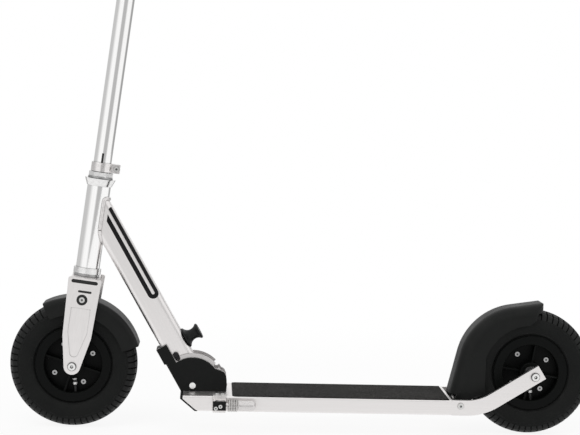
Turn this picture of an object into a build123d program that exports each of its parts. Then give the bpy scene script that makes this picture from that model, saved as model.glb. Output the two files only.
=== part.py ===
from build123d import *
import os
from math import cos, pi, radians, sin, sqrt

# A folding kick scooter with two air-filled wheels, in millimetres and degrees.
# +X is forward, +Y is the rider's left and +Z is up. The origin is on the ground,
# midway between the axles.

# Overall sizes
wheel_diameter = 200
wheelbase = 724.5
head_lean = 7  # steering axis, back from the vertical
tube_lean = 30  # down tube, forward from the vertical
fold_angle = 80  # from riding to folded
handlebar_height = 1000  # crossbar centre above the ground
handlebar_width = 510

# Clearances
running_fit = 0.05  # between a shaft and what turns on it
thread_fit = 0.1  # between a bolt and its nut
slide_fit = 0.1  # between sliding tubes, and pins in their holes
working_gap = 0.4  # between faces that pass each other
overshoot = 1  # by which a cutting shape passes the face it cuts

# Bolts and nuts that have no size of their own
bolt_radius = 2.5
bolt_head_radius = 4.5
bolt_head_height = 3
nut_flats = 8
nut_height = 4
thread_end = 1  # bolts pass their nuts by this much
small_bolt_radius = 2
small_head_radius = 3.4
small_head_height = 2.2
small_nut_flats = 7
small_nut_height = 3

# Wheels
tyre_width = 48
tyre_wall = 6
tyre_thinning = 1  # side walls are thinner than the tread
tyre_shoulder_drop = 6
tyre_shoulder_inset = 5.5
tyre_widest_rise = 2  # widest place, outside the middle of the side wall
bead_radius = 52
bead_fit = 0.2
flange_radius = 59.3
flange_thickness = 3.5
flange_gap = 0.7  # between the rim's edge and the side wall
rim_half_width = 21.5
rim_chamfer = 1
pocket_radius = 45
web_thickness = 4
hub_radius = 17
hub_half_width = 24
rib_thickness = 2.4
rib_drop = 5  # ribs stop this far below the rim's face
tube_skin = 1.5
tube_fit = 0.3  # around the air tube
bearing_radius = 11
bearing_width = 7
axle_radius = 4
axle_head_radius = 7
axle_head_height = 3.5
axle_nut_flats = 13
axle_nut_height = 6
spacer_wall = 3
rim_bolt_circle = 33.5
valve_radius = 2.8
valve_cap_radius = 4
valve_cap_length = 10
valve_reach = 24  # radius at which the valve cap ends
valve_offset = 8.5  # to the left of the wheel's middle
front_bolt_angle = 28  # first rim bolt above the rearward direction
front_valve_angle = 275
rear_bolt_angle = 35
rear_valve_angle = 275

# Deck
deck_width = 117
deck_height = 24
deck_top = 61
deck_side_wall = 3
deck_top_wall = 3
deck_bottom_wall = 2.5
deck_rib = 3
deck_corner = 3
deck_front_reach = 18.5  # ahead of the fold pivot
deck_tail_gap = 29.8  # from the rear tyre
nose_bevel_length = 23
nose_bevel_top = 5  # below the deck's top
nose_cap_thickness = 4
nose_cap_chamfer = 1
tape_thickness = 0.8
tape_margin = 1.5
tape_front_setback = 81  # behind the deck's front end
tape_rear_setback = 4.5
tape_corner = 6

# Fold bracket
fold_pivot_gap = 87.8  # from the front tyre back to the pivot
fold_pivot_height = 70
plate_thickness = 4
bracket_arc = 50.5  # of the inner plates, which carry the lock notches
cover_arc = 44
cover_thickness = 2
bracket_rear_reach = 53
bracket_hump = ((54.3, 2), (52.5, 15), (50, 20.5), (46.5, 23), (35, 27))  # behind and above the pivot
strip_inner = 5.2  # ahead of the pivot, square to the tube
strip_top = 76.5  # along the tube from the pivot
web_plate = 4
pad_thickness = 2.5
pad_bottom = 49
pad_step = 1
floor_front = 35.5  # behind the pivot
floor_thickness = 3
pivot_bolt_radius = 5
pivot_head_radius = 6
pivot_head_height = 3
pivot_head_taper = 20
pivot_nut_flats = 15
pivot_nut_height = 6
bush_wall = 1.5
bush_gap = 2  # between the two bushes
bracket_bolt_spread = 8

# Down tube
tube_depth = 41
tube_width = 30
tube_corner = 8
tube_wall = 2.5
tube_setback = 4.4  # its middle line behind the pivot
tube_floor = 14  # solid foot, along the tube from the pivot

# Fold lock
lock_pin_radius = 4
lock_pin_chamfer = 0.6
lock_pin_end = 1  # past the bracket's side plates
lock_travel = 6.5
notch_fit = 0.2
carriage_margin = 4  # around the pin and the knob's stem
carriage_play = 1  # inside the tube
carriage_corner = 3
knob_height = 69  # along the tube from the pivot
knob_base_radius = 16.5
knob_waist_radius = 8.5
knob_rim_radius = 12.5
knob_base_thickness = 2.5
knob_rim_thickness = 4
knob_length = 25
knob_stem_radius = 5
knob_edge = 1
lock_spring_turns = 6
lock_spring_wire = 1.6
lock_spring_radius = 7.5
lock_spring_pitch = 4.6
spring_stop_thickness = 3

# Fork and headset, as lengths along the steering axis
leg_face = 40.5  # outer face from the middle
leg_thickness = 5
leg_end_radius = 12.8
leg_front = 24.5
leg_rear = 27
leg_knee = 47  # where the taper to the axle starts
leg_front_narrowing = 3.3  # from the crown to the knee
leg_rear_narrowing = 3.7  # from the crown to the knee
leg_edge_round = 3
leg_panel_depth = 1.3
leg_panel_margin = 7
leg_panel_tip = 22  # centre of its round lower end above the axle
leg_panel_tip_radius = 7
leg_panel_drop = 13  # below the fender bolt
leg_pocket_radius = 8.5  # around the fender bolt
leg_pocket_depth = 2
upper_slot_length = 41
upper_slot_height = 5.5
upper_slot_drop = 5.8  # below the leg's top
lower_slot_length = 21
lower_slot_height = 3.5
lower_slot_rise = 13  # above the fender bolt
lower_slot_setback = 3.7
crown_gap = 18  # above the tyre
crown_height = 21.5
crown_half_length = 21
crown_corner = 3
steerer_wall = 2.2
lower_race_height = 4
lower_race_inset = 1.5
upper_race_height = 2
upper_race_inset = 4.7
lower_cup_height = 9
lower_cup_radius = 21.5
head_tube_length = 130
head_tube_radius = 18.7
head_tube_wall = 3.2
upper_cup_height = 11.3
upper_cup_radius = 24.2
upper_cup_foot_radius = 19.6
cup_bearing_radius = 18
cup_floor = 3
cup_spigot_length = 8
steerer_play = 1  # inside the cups
locknut_flats = 32.5
locknut_height = 7.7

# Stem and handlebar
lower_tube_radius = 14.3
lower_tube_wall = 1.6
lower_tube_length = 343
steerer_overlap = 40
collar_wall = 2.5
collar_height = 14
collar_slot_height = 29
collar_slot_width = 3.2
stem_gap = 1  # above the locknut
clamp_radius = 18
clamp_height = 15.5
ear_reach = 28.5
ear_half_width = 7
slit = 2
clamp_slit_length = 35
clamp_bolt_back = 23.5
lever_length = 44
lever_thickness = 4
lever_height = 11
lever_barrel_radius = 5.5
lever_slot = 5.8  # in the barrel, for the skewer
lever_gap = 1  # beside the clamp
lever_bend = 9  # where its handle straightens
lever_round = 8
cam_pin_radius = 2
skewer_nut_flats = 10
skewer_nut_height = 5
upper_tube_wall = 1.6
tube_overlap = 70  # upper tube inside the lower one
button_below_top = 46
button_radius = 4.2
button_length = 10
button_chamfer = 1
button_sink = 0.2
bar_radius = 11.1
bar_wall = 1.6
grip_radius = 16.5
grip_length = 125
grip_end = 4
grip_round = 2
grip_collar_rise = 2.5
grip_collar_width = 5

# Fenders
fender_skin = 2.4
front_fender_gap = 4.4
fender_round = 10
rear_fender_round = 18
front_fender_half_width = 31.5
front_fender_skirt = 20  # the side walls reach this far inside the tyre's edge
front_fender_lead = 27  # ahead of straight up
front_fender_trail = 73  # behind straight up
front_fender_cut = (12.7, 44)  # low end of its slanted front edge, ahead of and above the axle
front_fender_tip = 10  # height of its front edge
fender_bolt_rise = 5.5  # above the tyre
fender_bolt_setback = 1  # behind the steering axis
fender_bolt_head_radius = 5
fender_bolt_hole_end = 2  # skin left under the bolt's tip
fender_boss_radius = 6
rear_fender_half_width = 31
fender_foot_gap = 1.5  # behind the deck
fender_foot_rise = 4  # above the deck
fender_shoulder_inset = 2.2  # corner of its straight lines, inside the wheel's radius
fender_shoulder_drop = 5.2
fender_tail_back = 18  # behind the rear axle
fender_tail_rise = 12.4  # above the tyre
fender_tail_lip = ((0, 16), (9.5, 16), (13, 27.4))  # corners, ahead of and below the tail
fender_tail_round = 3  # seen from the side
fender_tail_corner = 18  # seen from above
fender_tyre_room = ((6, 3.8), (16, 0.4), (25, -9))  # half widths of its end's opening, and room over the tyre
fender_skirt_radius = 77.5
fender_skirt_angles = (86, 48, 17)  # places on its lower edge, seen from the axle
fender_bend_extra = 1  # over the wheel's radius
fender_pivot_gap = 16.3  # ahead of the rear tyre
fender_pivot_height = 52
fender_pivot_radius = 3
fender_pivot_head_radius = 5
fender_pivot_head_height = 2.5
fender_nut_flats = 10
fender_ear_radius = 8
fender_ear_start = 12  # behind its front edge
fender_ear_reach = 32  # behind the pivot
fender_sleeve_radius = 6
fender_side_play = 0.7
fender_spring_wire = 2
fender_spring_turns = 5
fender_spring_gap = 0.6
fender_spring_fit = 0.5  # round the bolt
shoe_thickness = 3
shoe_length = 38
shoe_half_width = 13
shoe_setback = 6.5  # ahead of the tail

# Rear arms
arm_thickness = 6
arm_rise = 32  # slope up to the rear axle
arm_bend_radius = 80
arm_past_axle = 12.5
arm_lift = 1.2  # of the arm's middle above the axle
tongue_thickness = 6
tongue_length = 45
tongue_overlap = 20
tongue_play = 0.6

# Kickstand
stand_front = 51  # behind the deck's front end
stand_width = 20
stand_plate = 3.5
stand_flange = 13  # on the deck's top
stand_flange_thickness = 1.6
stand_lip = 1  # below the deck's bottom
stand_bolt_spots = (6, 15)  # behind the mount's front edge
stand_bolt_inset = 7  # from the deck's side
stand_standoff = 14.3  # of the leg's middle from the deck's side
stand_pivot_back = 11.7  # behind the mount's front edge
stand_pivot_height = 49.4
stand_cheek_gap = 4.4
stand_cheek_thickness = 3.2
stand_cheek_back = 8.5  # behind the pivot
stand_cheek_top = 7.4  # above the pivot
stand_cheek_bottom = 6.6  # below the pivot
stand_cheek_bolt = (7, 3)  # ahead of and below the pivot
stand_eye_radius = 6
stand_foot_edge = 1
stand_bar_radius = 4
stand_foot_radius = 8
stand_foot_start = 28
stand_leg_length = 54.8
stand_spring_radius = 8.6
stand_spring_wire = 2
stand_spring_turns = 6
stand_spring_pitch = 2.6
stand_spring_start = 10.6

# Places that follow from the sizes
wheel_radius = wheel_diameter / 2
front_axle_x = wheelbase / 2
rear_axle_x = -wheelbase / 2
fold_x = front_axle_x - wheel_radius - fold_pivot_gap
deck_front = fold_x + deck_front_reach
deck_rear = rear_axle_x + wheel_radius + deck_tail_gap
deck_bottom = deck_top - deck_height
tape_front = deck_front - tape_front_setback
fender_pivot_x = rear_axle_x + wheel_radius + fender_pivot_gap
plate_inner = tube_width / 2 + working_gap
plate_outer = plate_inner + plate_thickness
leg_inner = leg_face - leg_thickness
arm_face = deck_width / 2
arm_inner = arm_face - arm_thickness
fender_bolt_height = wheel_radius + fender_bolt_rise
crown_bottom = wheel_radius + crown_gap
crown_top = crown_bottom + crown_height
lower_cup_bottom = crown_top + lower_race_height + working_gap
head_bottom = lower_cup_bottom + lower_cup_height
head_top = head_bottom + head_tube_length
upper_cup_top = head_top + upper_cup_height
locknut_bottom = upper_cup_top + upper_race_height + working_gap
stem_bottom = locknut_bottom + locknut_height + stem_gap
stem_top = stem_bottom + lower_tube_length
clamp_bottom = stem_top - clamp_height
button_level = stem_top - button_below_top
upper_tube_radius = lower_tube_radius - lower_tube_wall - slide_fit
steerer_radius = upper_tube_radius
steer_lean = radians(head_lean)
bar_level = (handlebar_height - wheel_radius) / cos(steer_lean)
stand_x = deck_front - stand_front - stand_pivot_back

# Working planes: side planes look from the left, with X forward and Y up
steer = Plane(
    origin=(front_axle_x, 0, wheel_radius),
    x_dir=(cos(steer_lean), 0, sin(steer_lean)),
    z_dir=(-sin(steer_lean), 0, cos(steer_lean)),
)
steer_side = Plane(origin=steer.origin, x_dir=steer.x_dir, z_dir=(0, -1, 0))
tube_angle = radians(tube_lean)
tube_line = Plane(
    origin=(fold_x, 0, fold_pivot_height),
    x_dir=(cos(tube_angle), 0, -sin(tube_angle)),
    z_dir=(sin(tube_angle), 0, cos(tube_angle)),
)
tube_side = Plane(origin=tube_line.origin, x_dir=tube_line.x_dir, z_dir=(0, -1, 0))
pivot_side = Plane(origin=tube_line.origin, x_dir=(1, 0, 0), z_dir=(0, -1, 0))
rear_side = Plane(origin=(rear_axle_x, 0, wheel_radius), x_dir=(1, 0, 0), z_dir=(0, -1, 0))
ground_side = Plane.XZ

pieces = []


# Shared shapes

def keep(piece, name):
    """Label a finished piece and put it on the list of pieces to write."""
    piece.part.label = name
    pieces.append(piece)


def across(x, z):
    """Plane at a point of the side view whose normal points to the left."""
    return Plane(origin=(x, 0, z), x_dir=(1, 0, 0), z_dir=(0, 1, 0))


def across_steer(ahead, up):
    """Plane on the steering frame whose normal points to the left."""
    place = steer.from_local_coords(Vector(ahead, 0, up))
    return Plane(origin=place, x_dir=steer.x_dir, z_dir=(0, 1, 0))


def across_tube(ahead, up):
    """Plane on the down tube's frame whose normal points to the left."""
    place = tube_line.from_local_coords(Vector(ahead, 0, up))
    return Plane(origin=place, x_dir=tube_line.x_dir, z_dir=(0, 1, 0))


def rod(plane, radius, start, end, mode=Mode.ADD):
    """Round rod along a plane's normal."""
    with BuildSketch(plane.offset(start)) as profile:
        Circle(radius)
    extrude(profile.sketch, amount=end - start, mode=mode)


def ring(plane, inner, outer, start, end):
    """Round sleeve along a plane's normal."""
    with BuildSketch(plane.offset(start)) as profile:
        Circle(outer)
        Circle(inner, mode=Mode.SUBTRACT)
    extrude(profile.sketch, amount=end - start)


def hex_nut(plane, inner, flats, start, end):
    """Six-sided nut along a plane's normal."""
    with BuildSketch(plane.offset(start)) as profile:
        RegularPolygon(flats / 2, 6, major_radius=False)
        Circle(inner + thread_fit, mode=Mode.SUBTRACT)
    extrude(profile.sketch, amount=end - start)


def socket_bolt(plane, radius, tip, seat, head_radius, head_height):
    """Bolt along a plane's normal, its head towards the end of the normal, with a hexagon socket."""
    rod(plane, radius, tip, seat)
    with BuildSketch(plane.offset(seat)) as head:
        Circle(head_radius)
    extrude(head.sketch, amount=head_height, taper=12)
    with BuildSketch(plane.offset(seat + head_height)) as socket:
        RegularPolygon(head_radius * 0.4, 6)
    extrude(socket.sketch, amount=-head_height * 0.8, mode=Mode.SUBTRACT)


def bolt_with_nut(plane, radius, nut_face, seat, head_radius, head_height, flats, height):
    """Socket bolt along a plane's normal with its nut on the far face."""
    socket_bolt(plane, radius, nut_face - height - thread_end, seat, head_radius, head_height)
    hex_nut(plane, radius, flats, nut_face - height, nut_face)


def biarc(start, start_way, end, end_way):
    """Two arcs that leave one point and reach another in the given directions."""
    chord = end - start
    ways = start_way + end_way
    spare = 4 - ways.dot(ways)
    reach = (sqrt(chord.dot(ways) ** 2 + spare * chord.dot(chord)) - chord.dot(ways)) / spare
    first = start + start_way * reach
    second = end - end_way * reach
    middle = (first + second) * 0.5
    TangentArc(start, middle, tangent=start_way)
    TangentArc(middle, end, tangent=(second - first).normalized())


def coil(plane, radius, wire, pitch, turns):
    """One unbroken wire wound about a plane's normal; prints the least gap between its turns."""
    steps = 4 * turns
    slope = pitch / (2 * pi * radius)
    points = []
    ways = []
    for step in range(steps + 1):
        angle = step * pi / 2
        point = Vector(radius * cos(angle), radius * sin(angle), pitch * step / 4)
        way = Vector(-sin(angle), cos(angle), slope).normalized()
        points.append(plane.from_local_coords(point))
        ways.append(plane.from_local_coords(way) - plane.origin)
    least = min(
        (points[later] - points[first]).length
        for first in range(steps + 1)
        for later in range(first + 3, steps + 1)
    )
    print("coil: least gap between turns", round(least - wire, 2))
    with BuildLine() as winding:
        for step in range(steps):
            biarc(points[step], ways[step], points[step + 1], ways[step + 1])
    section = Plane(origin=winding.line @ 0, z_dir=winding.line % 0)
    with BuildSketch(section) as cross:
        Circle(wire / 2)
    sweep(cross.sketch, path=winding.line)


# Wheels

def wheel(end, axle_x, bolt_angle, valve_angle):
    """All the turning pieces of one wheel."""
    section = Plane((axle_x, 0, wheel_radius))
    side = across(axle_x, wheel_radius)
    spin = Axis((axle_x, 0, wheel_radius), (0, 1, 0))
    half = tyre_width / 2
    widest = (bead_radius + wheel_radius) / 2 + tyre_widest_rise
    shoulder = wheel_radius - tyre_shoulder_drop
    shoulder_half = half - tyre_shoulder_inset
    neck_half = rim_half_width - flange_thickness - bead_fit
    bead = bead_radius + bead_fit
    neck = flange_radius + flange_gap
    inner_neck = neck_half - tyre_wall
    inner_half = half - tyre_wall + tyre_thinning
    crown = wheel_radius - tyre_wall
    inner_shoulder = shoulder - tyre_wall + 2 * tyre_thinning
    inner_shoulder_half = shoulder_half - tyre_wall

    with BuildPart() as tyre:
        with BuildSketch(section):
            with BuildLine():
                ThreePointArc((neck, neck_half), (widest, half), (shoulder, shoulder_half))
                ThreePointArc((shoulder, shoulder_half), (wheel_radius, 0), (shoulder, -shoulder_half))
                ThreePointArc((shoulder, -shoulder_half), (widest, -half), (neck, -neck_half))
                Polyline((neck, -neck_half), (bead, -neck_half), (bead, -inner_neck), (neck, -inner_neck))
                ThreePointArc(
                    (neck, -inner_neck), (widest, -inner_half), (inner_shoulder, -inner_shoulder_half)
                )
                ThreePointArc(
                    (inner_shoulder, -inner_shoulder_half), (crown, 0), (inner_shoulder, inner_shoulder_half)
                )
                ThreePointArc(
                    (inner_shoulder, inner_shoulder_half), (widest, inner_half), (neck, inner_neck)
                )
                Polyline((neck, inner_neck), (bead, inner_neck), (bead, neck_half), (neck, neck_half))
            make_face()
        revolve(axis=spin)
    keep(tyre, end + "_tyre")

    tube_low = bead + tube_fit
    tube_high = crown - tube_fit
    tube_middle = (tube_low + tube_high) / 2
    tube_tall = (tube_high - tube_low) / 2
    tube_wide = inner_neck - tube_fit
    valve_share = (valve_offset - valve_radius) / tube_wide
    valve_base = tube_middle - tube_tall * sqrt(1 - valve_share ** 2) - slide_fit
    with BuildPart() as inner_tube:
        with BuildSketch(section):
            with Locations((tube_middle, 0)):
                Ellipse(tube_tall, tube_wide)
                Ellipse(tube_tall - tube_skin, tube_wide - tube_skin, mode=Mode.SUBTRACT)
        revolve(axis=spin)
    keep(inner_tube, end + "_inner_tube")

    hub_bore = axle_radius + spacer_wall
    bearing_start = hub_half_width - bearing_width
    valve_way = Vector(-cos(radians(valve_angle)), 0, sin(radians(valve_angle)))
    valve_line = Plane(
        origin=Vector(axle_x, valve_offset, wheel_radius),
        x_dir=(0, 1, 0),
        z_dir=valve_way,
    )
    for hand, name in ((1, "left"), (-1, "right")):
        with BuildPart() as rim:
            with BuildSketch(section):
                Polygon(
                    (hub_bore, 0),
                    (hub_bore, bearing_start * hand),
                    (bearing_radius, bearing_start * hand),
                    (bearing_radius, hub_half_width * hand),
                    (hub_radius - rim_chamfer, hub_half_width * hand),
                    (hub_radius, (hub_half_width - rim_chamfer) * hand),
                    (hub_radius, web_thickness * hand),
                    (pocket_radius, web_thickness * hand),
                    (pocket_radius, (rim_half_width - rim_chamfer) * hand),
                    (pocket_radius + rim_chamfer, rim_half_width * hand),
                    (flange_radius - rim_chamfer, rim_half_width * hand),
                    (flange_radius, (rim_half_width - rim_chamfer) * hand),
                    (flange_radius, (rim_half_width - flange_thickness) * hand),
                    (bead_radius, (rim_half_width - flange_thickness) * hand),
                    (bead_radius, 0),
                    align=None,
                )
            revolve(axis=spin)
            for quarter in range(4):
                turn = radians(bolt_angle + 45 + 90 * quarter)
                ray = Plane(
                    origin=(axle_x, 0, wheel_radius),
                    x_dir=(-cos(turn), 0, sin(turn)),
                    z_dir=(sin(turn), 0, cos(turn)),
                )
                rib_middle = (web_thickness + rim_half_width - rib_drop) / 2 * hand
                with BuildSketch(ray):
                    with Locations(((hub_radius + pocket_radius) / 2, -rib_middle)):
                        Rectangle(
                            pocket_radius - hub_radius + 2 * overshoot,
                            rim_half_width - rib_drop - web_thickness + overshoot,
                        )
                extrude(amount=rib_thickness / 2, both=True)
            with BuildSketch(side):
                with Locations((0, 0)):
                    with PolarLocations(rim_bolt_circle, 4, start_angle=180 + bolt_angle):
                        Circle(bolt_radius + slide_fit)
            extrude(amount=web_thickness * 2 * hand, mode=Mode.SUBTRACT)
            if hand == 1:
                rod(
                    valve_line,
                    valve_radius + slide_fit,
                    pocket_radius - overshoot,
                    bead_radius + overshoot,
                    Mode.SUBTRACT,
                )
        keep(rim, end + "_rim_" + name)

    with BuildPart() as rim_bolts:
        for quarter in range(4):
            turn = radians(bolt_angle + 90 * quarter)
            spot = across(
                axle_x - rim_bolt_circle * cos(turn), wheel_radius + rim_bolt_circle * sin(turn)
            )
            bolt_with_nut(
                spot,
                bolt_radius,
                -web_thickness,
                web_thickness,
                bolt_head_radius,
                bolt_head_height,
                nut_flats,
                nut_height,
            )
    keep(rim_bolts, end + "_rim_bolts")

    with BuildPart() as valve:
        rod(valve_line, valve_radius, valve_reach + overshoot, valve_base)
        rod(valve_line, valve_cap_radius, valve_reach, valve_reach + valve_cap_length)
    keep(valve, end + "_valve")

    with BuildPart() as bearings:
        for hand in (1, -1):
            ring(
                side,
                axle_radius + running_fit,
                bearing_radius,
                bearing_start * hand,
                hub_half_width * hand,
            )
    keep(bearings, end + "_wheel_bearings")


def axle(end, axle_x, face, inner):
    """The fixed axle bolt of one wheel with its nut, and the spacers beside the bearings."""
    side = across(axle_x, wheel_radius)
    with BuildPart() as axle_bolt:
        bolt_with_nut(
            side,
            axle_radius,
            -face,
            face,
            axle_head_radius,
            axle_head_height,
            axle_nut_flats,
            axle_nut_height,
        )
    keep(axle_bolt, end + "_axle")
    with BuildPart() as spacers:
        for hand in (1, -1):
            spacer_start = hub_half_width + working_gap / 2
            ring(side, axle_radius, axle_radius + spacer_wall, spacer_start * hand, inner * hand)
    keep(spacers, end + "_axle_spacers")


wheel("front", front_axle_x, front_bolt_angle, front_valve_angle)
wheel("rear", rear_axle_x, rear_bolt_angle, rear_valve_angle)
axle("front", front_axle_x, leg_face, leg_inner)
axle("rear", rear_axle_x, arm_face, arm_inner)

# Deck

bevel_top = deck_top - nose_bevel_top
chamber_height = deck_height - deck_top_wall - deck_bottom_wall
chamber_middle = deck_bottom + deck_bottom_wall + chamber_height / 2
chamber_width = (deck_width - 2 * deck_side_wall - 2 * deck_rib) / 3
chamber_pitch = chamber_width + deck_rib
bracket_bolt_back = (bracket_rear_reach + floor_front) / 2

with BuildPart() as deck_extrusion:
    with BuildSketch(Plane.YZ.offset(deck_rear)):
        with Locations((0, deck_top - deck_height / 2)):
            RectangleRounded(deck_width, deck_height, deck_corner)
        with Locations((0, chamber_middle)):
            with GridLocations(chamber_pitch, 1, 3, 1):
                Rectangle(chamber_width, chamber_height, mode=Mode.SUBTRACT)
    extrude(amount=deck_front - nose_cap_thickness - deck_rear)
    with BuildSketch(ground_side):
        Polygon(
            (deck_front - nose_cap_thickness, bevel_top),
            (deck_front, bevel_top),
            (deck_front, deck_bottom),
            (deck_front - nose_bevel_length - nose_cap_thickness, deck_bottom),
            align=None,
        )
    extrude(amount=deck_width, both=True, mode=Mode.SUBTRACT)
    hole_bottom = deck_top - deck_top_wall - overshoot
    for hand in (1, -1):
        bolt_hole = Plane((fold_x - bracket_bolt_back, bracket_bolt_spread * hand, 0))
        rod(bolt_hole, bolt_radius + slide_fit, hole_bottom, deck_top + overshoot, Mode.SUBTRACT)
    for spot in stand_bolt_spots:
        bolt_hole = Plane((deck_front - stand_front - spot, deck_width / 2 - stand_bolt_inset, 0))
        rod(bolt_hole, small_bolt_radius + slide_fit, hole_bottom, deck_top + overshoot, Mode.SUBTRACT)
keep(deck_extrusion, "deck_extrusion")

with BuildPart() as deck_nose_cap:
    with BuildSketch(ground_side.offset(-deck_width / 2)):
        Polygon(
            (deck_front, deck_top - nose_cap_chamfer),
            (deck_front - nose_cap_chamfer, deck_top),
            (deck_front - nose_cap_thickness, deck_top),
            (deck_front - nose_cap_thickness, bevel_top),
            (deck_front - nose_bevel_length - nose_cap_thickness, deck_bottom),
            (deck_front - nose_bevel_length, deck_bottom),
            (deck_front, bevel_top),
            align=None,
        )
    extrude(amount=deck_width)
keep(deck_nose_cap, "deck_nose_cap")

tape_rear = deck_rear + tape_rear_setback
with BuildPart() as grip_tape:
    with BuildSketch(Plane.XY.offset(deck_top)):
        with Locations(((tape_front + tape_rear) / 2, 0)):
            Rectangle(tape_front - tape_rear, deck_width - 2 * tape_margin)
        fillet(vertices().group_by(Axis.X)[-1], tape_corner)
    extrude(amount=tape_thickness)
keep(grip_tape, "grip_tape")

# Rear arms: flat bars that plug into the deck's outer chambers and rise to the axle

arm_slope = radians(arm_rise)
arm_level = deck_top - deck_height / 2
arm_knee_x = rear_axle_x + (wheel_radius + arm_lift - arm_level) * cos(arm_slope) / sin(arm_slope)
arm_end_x = rear_axle_x - arm_past_axle * cos(arm_slope)
arm_end_z = wheel_radius + arm_lift + arm_past_axle * sin(arm_slope)


def rear_arm(hand, name):
    """One rear arm; hand is 1 on the left and -1 on the right."""
    outer = Plane.XZ.offset(-arm_face * hand)
    chamber = Plane.XZ.offset(-(arm_face - deck_side_wall - slide_fit) * hand)
    with BuildPart() as arm:
        with BuildSketch(outer):
            with BuildLine():
                FilletPolyline(
                    (deck_rear, arm_level),
                    (arm_knee_x, arm_level),
                    (arm_end_x, arm_end_z),
                    radius=arm_bend_radius,
                )
            trace(line_width=deck_height)
        extrude(amount=arm_thickness * hand)
        with BuildSketch(chamber):
            with Locations((deck_rear + (tongue_length - tongue_overlap) / 2, chamber_middle)):
                Rectangle(tongue_length + tongue_overlap, chamber_height - tongue_play)
        extrude(amount=tongue_thickness * hand)
        rod(across(rear_axle_x, wheel_radius), axle_radius, -deck_width, deck_width, Mode.SUBTRACT)
        rod(
            across(fender_pivot_x, fender_pivot_height),
            fender_pivot_radius,
            -deck_width,
            deck_width,
            Mode.SUBTRACT,
        )
    keep(arm, name)


rear_arm(1, "rear_arm_left")
rear_arm(-1, "rear_arm_right")

# Fold bracket: two side plates, a front web that the tube leans on, and a floor behind the pivot

pivot_drop = fold_pivot_height - deck_top
tube_front = tube_depth / 2 - tube_setback
tube_back = -tube_depth / 2 - tube_setback
web_inner = tube_front + working_gap
web_outer = web_inner + web_plate
pad_outer = web_outer + pad_thickness
lock_hole_level = bracket_arc + lock_pin_radius + working_gap
notch_level = lock_hole_level - lock_travel
notch_radius = lock_pin_radius + notch_fit
web_foot = (web_outer * sin(tube_angle) - pivot_drop) / cos(tube_angle)
web_heel = (web_inner * sin(tube_angle) - pivot_drop) / cos(tube_angle)


def in_tube(ahead, up):
    """A point of the tube's own side view, in the pivot's side view."""
    return (
        ahead * cos(tube_angle) + up * sin(tube_angle),
        up * cos(tube_angle) - ahead * sin(tube_angle),
    )


def notch(turn):
    """Lock notch in the arc of the inner plates, at an angle of fold."""
    way = tube_angle - radians(turn)
    with BuildSketch(pivot_side) as opening:
        for level in (notch_level, bracket_arc + lock_travel):
            with Locations((level * sin(way), level * cos(way))):
                Circle(notch_radius)
        make_hull()
    extrude(opening.sketch, amount=plate_outer + overshoot, both=True, mode=Mode.SUBTRACT)


lock_plate = plate_thickness - cover_thickness
plate_layers = (
    (-plate_outer, cover_thickness, cover_arc),
    (cover_thickness - plate_outer, lock_plate, bracket_arc),
    (plate_inner, lock_plate, bracket_arc),
    (plate_outer - cover_thickness, cover_thickness, cover_arc),
)
with BuildPart() as fold_bracket:
    for start, thickness, arc in plate_layers:
        with BuildSketch(pivot_side.offset(start)):
            Circle(arc)
            Polygon(
                in_tube(web_outer, -2 * bracket_arc),
                in_tube(web_outer + 2 * bracket_arc, -2 * bracket_arc),
                in_tube(web_outer + 2 * bracket_arc, 2 * bracket_arc),
                in_tube(web_outer, 2 * bracket_arc),
                align=None,
                mode=Mode.SUBTRACT,
            )
            Polygon(
                (0, -pivot_drop),
                (-bracket_rear_reach, -pivot_drop),
                *[(-back, up) for back, up in bracket_hump],
                (0, bracket_hump[-1][1]),
                align=None,
            )
            Polygon(
                (0, -pivot_drop),
                in_tube(web_outer, web_foot),
                in_tube(web_outer, pad_bottom),
                in_tube(pad_outer, pad_bottom + pad_step),
                in_tube(pad_outer, strip_top),
                in_tube(strip_inner, strip_top),
                in_tube(strip_inner, 0),
                align=None,
            )
            with Locations((0, -pivot_drop - bracket_arc)):
                Rectangle(4 * bracket_arc, 2 * bracket_arc, mode=Mode.SUBTRACT)
        extrude(amount=thickness)
    with BuildSketch(pivot_side):
        Polygon(
            in_tube(web_inner, web_heel),
            in_tube(web_outer, web_foot),
            in_tube(web_outer, pad_bottom),
            in_tube(pad_outer, pad_bottom + pad_step),
            in_tube(pad_outer, strip_top),
            in_tube(web_inner, strip_top),
            align=None,
        )
        with Locations((-bracket_bolt_back, floor_thickness / 2 - pivot_drop)):
            Rectangle(bracket_rear_reach - floor_front, floor_thickness)
    extrude(amount=plate_inner, both=True)
    notch(0)
    notch(fold_angle)
    rod(across(fold_x, fold_pivot_height), pivot_bolt_radius, -plate_outer, plate_outer, Mode.SUBTRACT)
    for hand in (1, -1):
        bolt_hole = Plane((fold_x - bracket_bolt_back, bracket_bolt_spread * hand, 0))
        rod(bolt_hole, bolt_radius, deck_top, deck_top + floor_thickness, Mode.SUBTRACT)
keep(fold_bracket, "fold_bracket")

with BuildPart() as bracket_bolts:
    for hand in (1, -1):
        bolt_with_nut(
            Plane((fold_x - bracket_bolt_back, bracket_bolt_spread * hand, 0)),
            bolt_radius,
            deck_top - deck_top_wall,
            deck_top + floor_thickness,
            bolt_head_radius,
            bolt_head_height,
            nut_flats,
            nut_height,
        )
keep(bracket_bolts, "bracket_bolts")

with BuildPart() as fold_pivot_bolt:
    pivot_line = across(fold_x, fold_pivot_height)
    pivot_tip = -plate_outer - pivot_nut_height - thread_end
    rod(pivot_line, pivot_bolt_radius, pivot_tip, plate_outer)
    with BuildSketch(pivot_line.offset(plate_outer)):
        Circle(pivot_head_radius)
    extrude(amount=pivot_head_height, taper=pivot_head_taper)
    hex_nut(pivot_line, pivot_bolt_radius, pivot_nut_flats, -plate_outer - pivot_nut_height, -plate_outer)
keep(fold_pivot_bolt, "fold_pivot_bolt")

# Down tube: a rounded rectangular tube with a solid foot on the fold pivot

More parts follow.
